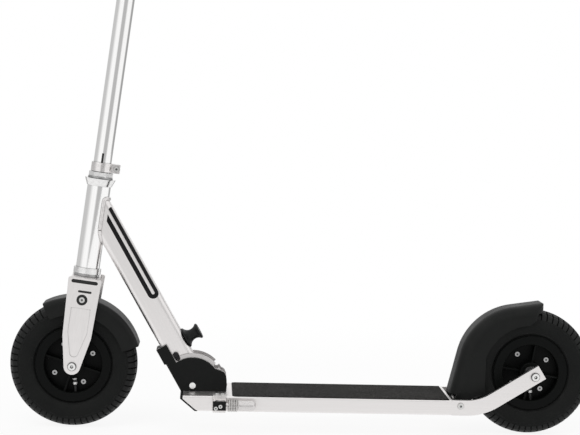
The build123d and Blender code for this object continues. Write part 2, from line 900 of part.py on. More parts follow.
nose_radius = pivot_drop - working_gap
folded_lean = tube_angle - radians(fold_angle)
foot_front = Vector(sin(tube_angle), -cos(tube_angle)) * nose_radius
foot_front = foot_front + Vector(cos(tube_angle), sin(tube_angle)) * tube_depth
foot_back = Vector(sin(folded_lean), -cos(folded_lean)) * nose_radius
foot_back = foot_back + Vector(-cos(folded_lean), -sin(folded_lean)) * (tube_depth + nose_radius)
head_cut = Plane(origin=steer.origin, x_dir=(0, 1, 0), z_dir=steer.x_dir)
tube_reach = (front_axle_x - fold_x + wheel_radius) / sin(tube_angle + steer_lean)
carriage_bottom = lock_hole_level - lock_pin_radius - carriage_margin
carriage_top = knob_height + knob_stem_radius + carriage_margin
spring_top = carriage_top + lock_spring_turns * lock_spring_pitch + 2 * lock_spring_wire
chamber_depth = tube_depth - 2 * tube_wall
chamber_breadth = tube_width - 2 * tube_wall

with BuildPart() as down_tube:
    with BuildSketch(tube_line.offset(-tube_depth)):
        with Locations((-tube_setback, 0)):
            RectangleRounded(tube_depth, tube_width, tube_corner)
    extrude(amount=tube_reach)
    with BuildSketch(tube_side):
        Circle(nose_radius)
        Polygon(
            (foot_front.X, foot_front.Y),
            (foot_front.X, tube_reach),
            (foot_back.X, tube_reach),
            (foot_back.X, foot_back.Y),
            align=None,
        )
        make_hull()
    extrude(amount=tube_width, both=True, mode=Mode.INTERSECT)
    for start, end in ((tube_floor, spring_top), (spring_top + spring_stop_thickness, tube_reach)):
        with BuildSketch(tube_line.offset(start)):
            with Locations((-tube_setback, 0)):
                RectangleRounded(chamber_depth, chamber_breadth, tube_corner - tube_wall)
        extrude(amount=end - start, mode=Mode.SUBTRACT)
    split(bisect_by=head_cut, keep=Keep.BOTTOM)
    rod(steer, head_tube_radius, crown_top, locknut_bottom, Mode.SUBTRACT)
    with BuildSketch(tube_side):
        for level in (notch_level - slide_fit, lock_hole_level + slide_fit):
            with Locations((0, level)):
                Circle(lock_pin_radius + working_gap)
        make_hull()
    extrude(amount=tube_width, both=True, mode=Mode.SUBTRACT)
    with BuildSketch(Plane(origin=tube_line.origin, x_dir=(0, -1, 0), z_dir=-tube_line.x_dir)):
        for level in (knob_height - lock_travel, knob_height):
            with Locations((0, level)):
                Circle(knob_stem_radius + working_gap)
        make_hull()
    extrude(amount=tube_depth, mode=Mode.SUBTRACT)
    rod(
        across(fold_x, fold_pivot_height),
        pivot_bolt_radius + running_fit + bush_wall,
        -tube_width,
        tube_width,
        Mode.SUBTRACT,
    )
keep(down_tube, "down_tube")

with BuildPart() as pivot_bushes:
    for hand in (1, -1):
        ring(
            across(fold_x, fold_pivot_height),
            pivot_bolt_radius + running_fit,
            pivot_bolt_radius + running_fit + bush_wall,
            bush_gap / 2 * hand,
            tube_width / 2 * hand,
        )
keep(pivot_bushes, "pivot_bushes")

# Fold lock: a knob behind the tube slides a carriage inside it, and the pin drops into the notches

with BuildPart() as lock_pin:
    pin_half = plate_outer + lock_pin_end
    rod(across_tube(0, lock_hole_level), lock_pin_radius, -pin_half, pin_half)
    chamfer(lock_pin.edges().filter_by(GeomType.CIRCLE), lock_pin_chamfer)
keep(lock_pin, "lock_pin")

carriage_front = lock_pin_radius + carriage_margin
carriage_back = tube_back + tube_wall + carriage_play
with BuildPart() as lock_carriage:
    with BuildSketch(tube_line.offset(carriage_bottom)):
        with Locations(((carriage_front + carriage_back) / 2, 0)):
            RectangleRounded(
                carriage_front - carriage_back, chamber_breadth - carriage_play, carriage_corner
            )
    extrude(amount=carriage_top - carriage_bottom)
    rod(across_tube(0, lock_hole_level), lock_pin_radius, -tube_width, tube_width, Mode.SUBTRACT)
keep(lock_carriage, "lock_carriage")

knob_face = tube_back - working_gap
knob_line = Plane(
    origin=tube_line.from_local_coords(Vector(0, 0, knob_height)),
    x_dir=tube_line.z_dir,
    z_dir=(0, -1, 0),
)
knob_rim_start = -knob_face + knob_length - knob_rim_thickness
with BuildPart() as release_knob:
    with BuildSketch(knob_line):
        with BuildLine():
            Polyline(
                (0, -carriage_back),
                (knob_stem_radius, -carriage_back),
                (knob_stem_radius, -knob_face),
                (knob_base_radius, -knob_face),
                (knob_base_radius - knob_edge, -knob_face + knob_base_thickness),
            )
            ThreePointArc(
                (knob_base_radius - knob_edge, -knob_face + knob_base_thickness),
                (knob_waist_radius, -knob_face + knob_length / 2),
                (knob_rim_radius - knob_edge, knob_rim_start),
            )
            Polyline(
                (knob_rim_radius - knob_edge, knob_rim_start),
                (knob_rim_radius, knob_rim_start + knob_edge),
                (knob_rim_radius, knob_rim_start + knob_rim_thickness - knob_edge),
                (knob_rim_radius - knob_edge, knob_rim_start + knob_rim_thickness),
                (0, knob_rim_start + knob_rim_thickness),
                (0, -carriage_back),
            )
        make_face()
    revolve(axis=Axis(knob_line.origin, knob_line.y_dir))
keep(release_knob, "release_knob")

with BuildPart() as lock_spring:
    spring_seat = Plane(
        origin=tube_line.from_local_coords(Vector(-tube_setback, 0, carriage_top + lock_spring_wire)),
        x_dir=tube_line.x_dir,
        z_dir=tube_line.z_dir,
    )
    coil(spring_seat, lock_spring_radius, lock_spring_wire, lock_spring_pitch, lock_spring_turns)
keep(lock_spring, "lock_spring")

# Head tube and headset

steerer_bore = steerer_radius + steerer_play
with BuildPart() as head_tube:
    ring(steer, head_tube_radius - head_tube_wall, head_tube_radius, head_bottom, head_top)
keep(head_tube, "head_tube")

cup_spigot = head_tube_radius - head_tube_wall
with BuildPart() as headset_cups:
    ring(steer, steerer_bore, lower_cup_radius, lower_cup_bottom, head_bottom)
    ring(steer, steerer_bore, cup_spigot, head_bottom, head_bottom + cup_spigot_length)
    rod(steer, cup_bearing_radius, lower_cup_bottom, head_bottom - cup_floor, Mode.SUBTRACT)
    with Locations(steer.offset(head_top)):
        Cone(
            upper_cup_foot_radius,
            upper_cup_radius,
            upper_cup_height,
            align=(Align.CENTER, Align.CENTER, Align.MIN),
        )
    rod(steer, steerer_bore, head_top, upper_cup_top, Mode.SUBTRACT)
    ring(steer, steerer_bore, cup_spigot, head_top - cup_spigot_length, head_top)
    rod(steer, cup_bearing_radius, head_top + cup_floor, upper_cup_top, Mode.SUBTRACT)
keep(headset_cups, "headset_cups")

with BuildPart() as headset_bearings:
    bearing_face = cup_bearing_radius - running_fit
    ring(steer, steerer_radius, bearing_face, crown_top, head_bottom - cup_floor - working_gap)
    lower_race = lower_cup_radius - lower_race_inset
    upper_race = upper_cup_radius - upper_race_inset
    ring(steer, bearing_face, lower_race, crown_top, lower_cup_bottom - working_gap)
    ring(steer, steerer_radius, bearing_face, head_top + cup_floor + working_gap, locknut_bottom)
    ring(steer, bearing_face, upper_race, upper_cup_top + working_gap, locknut_bottom)
keep(headset_bearings, "headset_bearings")

with BuildPart() as headset_locknut:
    hex_nut(steer, steerer_radius, locknut_flats, locknut_bottom, locknut_bottom + locknut_height)
keep(headset_locknut, "headset_locknut")

# Fork

fender_bolt_line = across_steer(-fender_bolt_setback, fender_bolt_height)
with BuildPart() as fork_crown:
    with BuildSketch(steer.offset(crown_bottom)):
        RectangleRounded(2 * crown_half_length, 2 * leg_inner, crown_corner)
    extrude(amount=crown_height)
    ring(steer, steerer_radius - steerer_wall, steerer_radius, crown_top, stem_bottom + steerer_overlap)
keep(fork_crown, "fork_crown")


def fork_leg(hand, name):
    """One fork leg plate; hand is 1 on the left and -1 on the right."""
    face = steer_side.offset(-leg_face * hand)
    knee_front = leg_front - leg_front_narrowing
    knee_rear = leg_rear_narrowing - leg_rear
    with BuildPart() as leg:
        with BuildSketch(face):
            Circle(leg_end_radius)
            Polygon(
                (leg_front, crown_top),
                (knee_front, leg_knee),
                (knee_rear, leg_knee),
                (-leg_rear, crown_top),
                align=None,
            )
            make_hull()
        extrude(amount=leg_thickness * hand)
        fillet(leg.edges().filter_by(Axis.Y), leg_edge_round)
        panel_top = fender_bolt_height - leg_panel_drop
        panel_low = leg_knee + leg_panel_margin
        with BuildSketch(face):
            with Locations((0, leg_panel_tip)):
                Circle(leg_panel_tip_radius)
            Polygon(
                (knee_front - leg_panel_margin, panel_top),
                (knee_front - leg_panel_margin, panel_low),
                (knee_rear + leg_panel_margin, panel_low),
                (knee_rear + leg_panel_margin, panel_top),
                align=None,
            )
            make_hull()
        extrude(amount=leg_panel_depth * hand, mode=Mode.SUBTRACT)
        with BuildSketch(face):
            with Locations((-fender_bolt_setback, fender_bolt_height)):
                Circle(leg_pocket_radius)
            with Locations(((leg_front - leg_rear) / 2, crown_top - upper_slot_drop)):
                SlotOverall(upper_slot_length, upper_slot_height)
            with Locations((-lower_slot_setback, fender_bolt_height + lower_slot_rise)):
                SlotOverall(lower_slot_length, lower_slot_height)
        extrude(amount=leg_pocket_depth * hand, mode=Mode.SUBTRACT)
        rod(across_steer(0, 0), axle_radius, -2 * leg_face, 2 * leg_face, Mode.SUBTRACT)
        rod(fender_bolt_line, bolt_radius, -2 * leg_face, 2 * leg_face, Mode.SUBTRACT)
    keep(leg, name)


fork_leg(1, "fork_leg_left")
fork_leg(-1, "fork_leg_right")

# Front fender

fender_inner = wheel_radius + front_fender_gap
fender_outer = fender_inner + fender_skin
skirt_edge = wheel_radius - front_fender_skirt
lead = radians(90 - front_fender_lead)
front_spin = Axis((front_axle_x, 0, wheel_radius), (0, -1, 0))
lead_plane = Plane(
    origin=(front_axle_x, 0, wheel_radius),
    x_dir=(cos(lead), 0, sin(lead)),
    z_dir=(-sin(lead), 0, cos(lead)),
)
with BuildPart() as front_fender:
    with BuildSketch(lead_plane):
        with BuildLine():
            FilletPolyline(
                (skirt_edge, fender_skin / 2 - front_fender_half_width),
                (fender_outer - fender_skin / 2, fender_skin / 2 - front_fender_half_width),
                (fender_outer - fender_skin / 2, front_fender_half_width - fender_skin / 2),
                (skirt_edge, front_fender_half_width - fender_skin / 2),
                radius=fender_round - fender_skin / 2,
            )
        trace(line_width=fender_skin)
    revolve(axis=front_spin, revolution_arc=front_fender_lead + front_fender_trail)
    with BuildSketch(Plane(lead_plane.origin, x_dir=(1, 0, 0), z_dir=(0, -1, 0))):
        Polygon(
            (fender_outer * cos(lead) + overshoot, fender_outer * sin(lead) - front_fender_tip),
            front_fender_cut,
            (fender_outer, front_fender_cut[1]),
            align=None,
        )
    extrude(amount=2 * front_fender_half_width, both=True, mode=Mode.SUBTRACT)
    for hand in (1, -1):
        boss_inner = front_fender_half_width - fender_round
        bolt_bottom = boss_inner + fender_bolt_hole_end
        rod(fender_bolt_line, fender_boss_radius, boss_inner * hand, leg_inner * hand)
        rod(fender_bolt_line, bolt_radius, bolt_bottom * hand, leg_face * hand, Mode.SUBTRACT)
keep(front_fender, "front_fender")

with BuildPart() as front_fender_bolts:
    for hand in (1, -1):
        socket_bolt(
            Plane(origin=fender_bolt_line.origin, x_dir=fender_bolt_line.x_dir, z_dir=(0, hand, 0)),
            bolt_radius,
            bolt_bottom + working_gap,
            leg_face - leg_pocket_depth,
            fender_bolt_head_radius,
            bolt_head_height,
        )
keep(front_fender_bolts, "front_fender_bolts")

# Rear fender, pressed down on the tyre as the brake

fender_bend = wheel_radius + fender_bend_extra
front_foot = Vector(deck_rear - fender_foot_gap - rear_axle_x, deck_top + fender_foot_rise - wheel_radius)
shoulder = Vector(wheel_radius - fender_shoulder_inset, wheel_radius - fender_shoulder_drop)
tail = Vector(-fender_tail_back, wheel_radius + fender_tail_rise)
front_way = (shoulder - front_foot).normalized()
tail_way = (tail - shoulder).normalized()
front_inward = Vector(-front_way.Y, front_way.X)
tail_inward = Vector(-tail_way.Y, tail_way.X)
shoulder_inward = (front_inward + tail_inward) * (1 / (1 + front_inward.dot(tail_inward)))
skirt_top, skirt_middle, skirt_low = [
    (fender_skirt_radius * cos(radians(angle)), fender_skirt_radius * sin(radians(angle)))
    for angle in fender_skirt_angles
]
tail_corners = [(tail.X + ahead, tail.Y - down) for ahead, down in fender_tail_lip]
tail_edge = rear_axle_x + tail.X
inner_share = (1 - tail_inward.X) / tail_way.X
tail_centre = tail + tail_inward * fender_tail_round + tail_way * fender_tail_round * inner_share
tail_touch = tail_centre - tail_inward * fender_tail_round
ear_top = front_foot.Y + fender_foot_rise
ear_front = front_foot.X - fender_ear_start
pivot_x = fender_pivot_x - rear_axle_x
pivot_z = fender_pivot_height - wheel_radius
hollow_foot = front_foot + front_inward * fender_skin - front_way * wheel_radius / 2
hollow_shoulder = shoulder + shoulder_inward * fender_skin
hollow_tail = tail + tail_inward * fender_skin + tail_way * fender_skin * inner_share


def outer_edges(solid, half_width):
    """The long edges along the back of a fender, on both its sides."""
    return solid.edges().filter_by(
        lambda edge: abs(abs(edge.center().Y) - half_width) < 0.01
        and edge.length > 0.4 * wheel_radius
        and edge.center().Z > front_foot.Y + wheel_radius + 10
        and Vector(edge.center().X - rear_axle_x, 0, edge.center().Z - wheel_radius).length > wheel_radius
    )


def round_tail(rear_edge, half_width, corner):
    """Round the corners of a fender's tail, seen from above."""
    with BuildSketch() as trim:
        with Locations((rear_edge, 0)):
            Rectangle(2 * corner, 4 * half_width)
        with Locations((rear_edge + 2 * corner, 0)):
            RectangleRounded(4 * corner, 2 * half_width, corner, mode=Mode.SUBTRACT)
    extrude(trim.sketch, amount=3 * wheel_radius, mode=Mode.SUBTRACT)


axle_section = Plane(origin=(rear_axle_x, 0, wheel_radius), x_dir=(0, 1, 0), z_dir=(1, 0, 0))

with BuildPart() as fender_hollow:
    with BuildSketch(rear_side):
        with BuildLine():
            FilletPolyline(
                (hollow_foot.X, hollow_foot.Y),
                (hollow_shoulder.X, hollow_shoulder.Y),
                (hollow_tail.X, hollow_tail.Y),
                radius=fender_bend - fender_skin,
            )
            Polyline(
                (hollow_tail.X, hollow_tail.Y),
                (hollow_tail.X, hollow_foot.Y),
                (hollow_foot.X, hollow_foot.Y),
            )
        make_face()
    extrude(amount=rear_fender_half_width - fender_skin, both=True)
    fillet(
        outer_edges(fender_hollow, rear_fender_half_width - fender_skin),
        rear_fender_round - fender_skin,
    )
    round_tail(
        tail_edge + fender_skin, rear_fender_half_width - fender_skin, fender_tail_corner - fender_skin
    )

with BuildPart() as rear_fender:
    with BuildSketch(rear_side):
        with BuildLine():
            FilletPolyline(
                (front_foot.X, front_foot.Y),
                (shoulder.X, shoulder.Y),
                (tail.X, tail.Y),
                radius=fender_bend,
            )
            Polyline((tail.X, tail.Y), (tail.X, front_foot.Y), (front_foot.X, front_foot.Y))
        make_face()
    extrude(amount=rear_fender_half_width, both=True)
    fillet(outer_edges(rear_fender, rear_fender_half_width), rear_fender_round)
    with BuildSketch(rear_side):
        with BuildLine():
            Polyline((tail.X - overshoot, tail_corners[0][1]), *tail_corners, skirt_top)
            ThreePointArc(skirt_top, skirt_middle, skirt_low)
            Polyline(
                skirt_low,
                (skirt_low[0], front_foot.Y - overshoot),
                (tail.X - overshoot, front_foot.Y - overshoot),
                (tail.X - overshoot, tail_corners[0][1]),
            )
        make_face()
    extrude(amount=2 * rear_fender_half_width, both=True, mode=Mode.SUBTRACT)
    with BuildSketch(rear_side):
        Polygon(
            (tail.X - overshoot, tail.Y + overshoot),
            (tail_touch.X, tail.Y + overshoot),
            (tail_touch.X, tail_touch.Y),
            (tail_centre.X, tail_centre.Y),
            (tail.X - overshoot, tail_centre.Y),
            align=None,
        )
        with Locations((tail_centre.X, tail_centre.Y)):
            Circle(fender_tail_round, mode=Mode.SUBTRACT)
    extrude(amount=2 * rear_fender_half_width, both=True, mode=Mode.SUBTRACT)
    round_tail(tail_edge, rear_fender_half_width, fender_tail_corner)
    with BuildSketch(axle_section):
        half_room = [(across, wheel_radius + over) for across, over in fender_tyre_room]
        Polygon(
            *[(-across, away) for across, away in reversed(half_room)],
            *half_room,
            (half_room[-1][0], 0),
            (-half_room[-1][0], 0),
            align=None,
        )
    revolve(axis=Axis(axle_section.origin, (0, 1, 0)), mode=Mode.SUBTRACT)
    for start in (-rear_fender_half_width, rear_fender_half_width - fender_skin):
        with BuildSketch(rear_side.offset(start)):
            with Locations((pivot_x, pivot_z)):
                Circle(fender_ear_radius)
            Polygon(
                (ear_front, ear_top),
                (pivot_x - fender_ear_reach, ear_top),
                (pivot_x - fender_ear_reach, front_foot.Y),
                (ear_front, front_foot.Y),
                align=None,
            )
            make_hull()
        extrude(amount=fender_skin)
    add(fender_hollow.part, mode=Mode.SUBTRACT)
    for hand in (1, -1):
        rod(
            across(fender_pivot_x, fender_pivot_height),
            fender_sleeve_radius,
            (rear_fender_half_width - fender_skin) * hand,
            (arm_face - deck_side_wall - tongue_thickness - fender_side_play) * hand,
        )
    rod(
        across(fender_pivot_x, fender_pivot_height),
        fender_pivot_radius + running_fit,
        -deck_width,
        deck_width,
        Mode.SUBTRACT,
    )
keep(rear_fender, "rear_fender")

with BuildPart() as brake_shoe:
    with BuildSketch(rear_side):
        shoe_seat = tail + tail_inward * fender_skin - tail_way * shoe_setback
        corners = (
            shoe_seat,
            shoe_seat - tail_way * shoe_length,
            shoe_seat - tail_way * shoe_length + tail_inward * shoe_thickness,
            shoe_seat + tail_inward * shoe_thickness,
        )
        Polygon(*[(corner.X, corner.Y) for corner in corners], align=None)
    extrude(amount=shoe_half_width, both=True)
keep(brake_shoe, "brake_shoe")

with BuildPart() as fender_pivot_bolt:
    fender_line = across(fender_pivot_x, fender_pivot_height)
    bolt_with_nut(
        fender_line,
        fender_pivot_radius,
        -arm_face,
        arm_face,
        fender_pivot_head_radius,
        fender_pivot_head_height,
        fender_nut_flats,
        nut_height,
    )
keep(fender_pivot_bolt, "fender_pivot_bolt")

with BuildPart() as fender_spring:
    spring_pitch = fender_spring_wire + fender_spring_gap
    spring_start = -fender_spring_turns * spring_pitch / 2
    coil(
        across(fender_pivot_x, fender_pivot_height).offset(spring_start),
        fender_pivot_radius + fender_spring_wire / 2 + fender_spring_fit,
        fender_spring_wire,
        spring_pitch,
        fender_spring_turns,
    )
keep(fender_spring, "fender_spring")

# Stem

bolt_ear = across_steer(-clamp_bolt_back, stem_bottom + collar_height / 2)
clamp_ear = across_steer(-clamp_bolt_back, clamp_bottom + clamp_height / 2)
with BuildPart() as lower_tube:
    ring(steer, lower_tube_radius - lower_tube_wall, lower_tube_radius, stem_bottom, stem_top)
    with BuildSketch(steer.offset(stem_bottom)):
        Rectangle(collar_slot_width, 3 * lower_tube_radius)
    extrude(amount=collar_slot_height, mode=Mode.SUBTRACT)
    with BuildSketch(steer.offset(stem_top)):
        with Locations((-lower_tube_radius, 0)):
            Rectangle(lower_tube_radius, slit)
    extrude(amount=-clamp_slit_length, mode=Mode.SUBTRACT)
    rod(across_steer(0, button_level), button_radius + working_gap, 0, 2 * lower_tube_radius, Mode.SUBTRACT)
keep(lower_tube, "lower_tube")


def band(outer, level, height):
    """Split clamp band round the lower tube, with two ears at the back."""
    with BuildSketch(steer.offset(level)) as shape:
        Circle(outer)
        with Locations((-ear_reach / 2, 0)):
            Rectangle(ear_reach, 2 * ear_half_width)
        Circle(lower_tube_radius, mode=Mode.SUBTRACT)
        with Locations((-ear_reach, 0)):
            Rectangle(2 * ear_reach, slit, mode=Mode.SUBTRACT)
    extrude(shape.sketch, amount=height)


with BuildPart() as stem_collar:
    band(lower_tube_radius + collar_wall, stem_bottom, collar_height)
    rod(bolt_ear, bolt_radius, -2 * ear_half_width, 2 * ear_half_width, Mode.SUBTRACT)
keep(stem_collar, "stem_collar")

with BuildPart() as pinch_bolt:
    bolt_with_nut(
        bolt_ear,
        bolt_radius,
        -ear_half_width,
        ear_half_width,
        bolt_head_radius,
        bolt_head_height,
        nut_flats,
        nut_height,
    )
keep(pinch_bolt, "pinch_bolt")

with BuildPart() as height_clamp:
    band(clamp_radius, clamp_bottom, clamp_height)
    rod(clamp_ear, bolt_radius, -2 * ear_half_width, 2 * ear_half_width, Mode.SUBTRACT)
keep(height_clamp, "height_clamp")

barrel_side = ear_half_width + lever_barrel_radius + working_gap
cam_line = Plane(
    origin=steer.from_local_coords(Vector(-clamp_bolt_back, barrel_side, clamp_bottom + clamp_height / 2)),
    x_dir=steer.x_dir,
    z_dir=steer.z_dir,
)
with BuildPart() as clamp_skewer:
    skewer_nut_end = -ear_half_width - skewer_nut_height
    rod(clamp_ear, bolt_radius, skewer_nut_end - thread_end, barrel_side)
    rod(cam_line, cam_pin_radius, -lever_height / 2, lever_height / 2)
    hex_nut(clamp_ear, bolt_radius, skewer_nut_flats, skewer_nut_end, -ear_half_width)
keep(clamp_skewer, "clamp_skewer")

lever_side = clamp_radius + lever_thickness / 2 + lever_gap - barrel_side
with BuildPart() as clamp_lever:
    with BuildSketch(cam_line.offset(-lever_height / 2)):
        with BuildLine():
            FilletPolyline(
                (0, lever_barrel_radius - lever_thickness / 2),
                (lever_bend, lever_side),
                (lever_length, lever_side + lever_gap),
                radius=lever_round,
            )
        trace(line_width=lever_thickness)
        Circle(lever_barrel_radius)
        Circle(cam_pin_radius + running_fit, mode=Mode.SUBTRACT)
    extrude(amount=lever_height)
    rod(cam_line, lever_barrel_radius + 2, -lever_slot / 2, lever_slot / 2, Mode.SUBTRACT)
keep(clamp_lever, "clamp_lever")

# Handlebar

upper_tube_bottom = stem_top - tube_overlap
bar_line = across_steer(0, bar_level)
with BuildPart() as upper_tube:
    ring(steer, upper_tube_radius - upper_tube_wall, upper_tube_radius, upper_tube_bottom, bar_level)
    rod(bar_line, bar_radius, -2 * bar_radius, 2 * bar_radius, Mode.SUBTRACT)
    rod(across_steer(0, button_level), button_radius + running_fit, 0, 2 * upper_tube_radius, Mode.SUBTRACT)
keep(upper_tube, "upper_tube")

with BuildPart() as crossbar:
    half_bar = handlebar_width / 2 - grip_end
    ring(bar_line, bar_radius - bar_wall, bar_radius, -half_bar, half_bar)
keep(crossbar, "crossbar")


def grip(hand, name):
    """Rubber grip with a closed end and a collar; hand is 1 on the left and -1 on the right."""
    outer_end = handlebar_width / 2 * hand
    with BuildPart() as sleeve:
        rod(bar_line, grip_radius, outer_end, outer_end - grip_length * hand)
        inner_end = outer_end - grip_length * hand
        rod(bar_line, grip_radius + grip_collar_rise, inner_end + grip_collar_width * hand, inner_end)
        end_edges = sleeve.edges().filter_by(GeomType.CIRCLE).group_by(Axis.Y)
        fillet(end_edges[-1 if hand == 1 else 0], grip_round)
        rod(bar_line, bar_radius, outer_end - grip_end * hand, inner_end - overshoot * hand, Mode.SUBTRACT)
    keep(sleeve, name)


grip(1, "grip_left")
grip(-1, "grip_right")

button_end = sqrt(upper_tube_radius ** 2 - (button_radius - button_chamfer) ** 2) - button_sink
with BuildPart() as height_button:
    rod(across_steer(0, button_level), button_radius, button_end - button_length, button_end)
    chamfer(height_button.edges().filter_by(GeomType.CIRCLE).sort_by(Axis.Y)[-1], button_chamfer)
keep(height_button, "height_button")

# Kickstand

stand_line = across(stand_x, stand_pivot_height)
mount_front = deck_front - stand_front
mount_back = mount_front - stand_width
side_face = deck_width / 2
stand_middle = side_face + stand_standoff
cheek_inner = stand_middle - stand_cheek_gap
cheek_outer = stand_middle + stand_cheek_gap
cheek_face = cheek_outer + stand_cheek_thickness
cheek_line = across(stand_x + stand_cheek_bolt[0], stand_pivot_height - stand_cheek_bolt[1])
with BuildPart() as kickstand_mount:
    with BuildSketch(Plane.YZ.offset(mount_back)):
        Polygon(
            (side_face, deck_bottom - stand_lip),
            (side_face + stand_plate, deck_bottom - stand_lip),
            (side_face + stand_plate, deck_top + stand_flange_thickness),
            (side_face - stand_flange, deck_top + stand_flange_thickness),
            (side_face - stand_flange, deck_top),
            (side_face, deck_top),
            align=None,
        )
    extrude(amount=stand_width)
    with BuildSketch(ground_side.offset(-cheek_face)):
        Polygon(
            (stand_x - stand_cheek_back, stand_pivot_height + stand_cheek_top),
            (mount_front, stand_pivot_height + stand_cheek_top),
            (mount_front, stand_pivot_height - stand_cheek_bottom),
            (stand_x - stand_cheek_back, stand_pivot_height - stand_cheek_bottom),
            align=None,
        )
    extrude(amount=cheek_face - side_face)
    rod(stand_line, stand_spring_start + working_gap, cheek_inner, cheek_outer, Mode.SUBTRACT)
    rod(stand_line, bolt_radius, 0, 2 * stand_middle, Mode.SUBTRACT)
    rod(cheek_line, small_bolt_radius, stand_middle, cheek_face, Mode.SUBTRACT)
    for spot in stand_bolt_spots:
        bolt_hole = Plane((mount_front - spot, side_face - stand_bolt_inset, 0))
        rod(bolt_hole, small_bolt_radius, deck_bottom, deck_top + 2 * stand_flange_thickness, Mode.SUBTRACT)
keep(kickstand_mount, "kickstand_mount")

with BuildPart() as kickstand_bolts:
    for spot in stand_bolt_spots:
        bolt_with_nut(
            Plane((mount_front - spot, side_face - stand_bolt_inset, 0)),
            small_bolt_radius,
            deck_top - deck_top_wall,
            deck_top + stand_flange_thickness,
            small_head_radius,
            small_head_height,
            small_nut_flats,
            small_nut_height,
        )
    for line, radius, tip in (
        (stand_line, bolt_radius, side_face + working_gap),
        (cheek_line, small_bolt_radius, cheek_outer + working_gap),
    ):
        socket_bolt(line, radius, tip, cheek_face, small_head_radius, small_head_height)
keep(kickstand_bolts, "kickstand_bolts")

with BuildPart() as kickstand_leg:
    leg_line = Plane(
        origin=(stand_x, stand_middle, stand_pivot_height), x_dir=(0, 1, 0), z_dir=(-1, 0, 0)
    )
    eye = across(stand_x, stand_pivot_height)
    rod(eye, stand_eye_radius, cheek_inner + working_gap, cheek_outer - working_gap)
    rod(leg_line, stand_bar_radius - working_gap, 0, stand_foot_start + overshoot)
    rod(leg_line, stand_foot_radius, stand_foot_start, stand_leg_length)
    fillet(kickstand_leg.faces().sort_by(Axis.X)[0].edges(), stand_foot_radius - stand_foot_edge)
    rod(eye, bolt_radius + running_fit, 0, 2 * stand_middle, Mode.SUBTRACT)
keep(kickstand_leg, "kickstand_leg")

with BuildPart() as kickstand_spring:
    coil(
        leg_line.offset(stand_spring_start + stand_spring_wire / 2),
        stand_spring_radius,
        stand_spring_wire,
        stand_spring_pitch,
        stand_spring_turns,
    )
keep(kickstand_spring, "kickstand_spring")

os.makedirs("parts", exist_ok=True)
for piece in pieces:
    export_step(piece.part, "parts/" + piece.part.label + ".step")
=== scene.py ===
"""Looks of a folding kick scooter: finishes, treaded tyres, ribbed grips, stripes, welds and a stage."""

import math

import bmesh
import bpy
from bpy.props import FloatProperty, FloatVectorProperty, IntProperty, PointerProperty
from mathutils import Matrix, Vector


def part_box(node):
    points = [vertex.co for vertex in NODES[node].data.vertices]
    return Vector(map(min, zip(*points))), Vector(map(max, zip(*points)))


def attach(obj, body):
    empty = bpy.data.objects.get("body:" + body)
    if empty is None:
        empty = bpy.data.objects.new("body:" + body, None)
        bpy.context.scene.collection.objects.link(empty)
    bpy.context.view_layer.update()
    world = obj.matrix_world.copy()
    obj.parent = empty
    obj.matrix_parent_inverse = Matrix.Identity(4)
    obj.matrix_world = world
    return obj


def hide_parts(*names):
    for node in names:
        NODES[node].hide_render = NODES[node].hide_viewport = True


bl_info = {
    "name": "Kick Scooter Looks",
    "version": (1, 0, 0),
    "blender": (4, 5, 0),
    "location": "View3D > Sidebar > Scooter",
    "description": "Dresses a folding kick scooter and sets it on a white stage",
    "category": "Object",
}

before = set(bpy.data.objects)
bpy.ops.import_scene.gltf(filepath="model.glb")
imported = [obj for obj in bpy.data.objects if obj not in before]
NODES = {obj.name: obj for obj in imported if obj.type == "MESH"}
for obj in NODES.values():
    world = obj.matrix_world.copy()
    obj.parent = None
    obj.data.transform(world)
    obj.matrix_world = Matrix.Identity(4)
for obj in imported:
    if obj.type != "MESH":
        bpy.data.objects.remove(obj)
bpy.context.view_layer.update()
ENDS = ("front", "rear")

MM = 0.001
STEER_LEAN = math.radians(7.0)
TUBE_LEAN = math.radians(30.0)
TURN_STEER = (0.0, STEER_LEAN, 0.0)
TURN_TUBE = (0.0, -TUBE_LEAN, 0.0)
TURN_LENGTH = (0.0, math.pi / 2, 0.0)
TURN_ACROSS = (math.pi / 2, 0.0, 0.0)


def middle(node):
    """Centre of a CAD node's box, in metres."""
    low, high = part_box(node)
    return (Vector(low) + Vector(high)) / 2


# Sizes and colours a user would change


class ScooterTyreSettings(bpy.types.PropertyGroup):
    """Tread of both tyres."""

    blocks: IntProperty(
        name="Blocks", description="Tread blocks around each shoulder", default=60, min=24, max=96
    )
    block_depth: FloatProperty(
        name="Block depth", description="Depth of the gaps between blocks", default=0.0026, unit="LENGTH"
    )
    gap_share: FloatProperty(
        name="Gap share", description="Part of each block's pitch that is gap", default=0.24, subtype="FACTOR"
    )
    block_rubber: FloatVectorProperty(
        name="Block rubber", description="Worn block faces", default=(0.006, 0.0065, 0.0063), subtype="COLOR"
    )
    rubber: FloatVectorProperty(
        name="Rubber", description="Tyre rubber colour", default=(0.006, 0.0066, 0.0063), subtype="COLOR"
    )


class ScooterGripSettings(bpy.types.PropertyGroup):
    """Handlebar grips."""

    ribs: IntProperty(name="Ribs", description="Ribs along each grip", default=22, min=6, max=40)
    rib_depth: FloatProperty(
        name="Rib depth", description="Depth between ribs", default=0.0011, unit="LENGTH"
    )
    rubber: FloatVectorProperty(
        name="Rubber", description="Grip rubber colour", default=(0.013, 0.013, 0.0135), subtype="COLOR"
    )


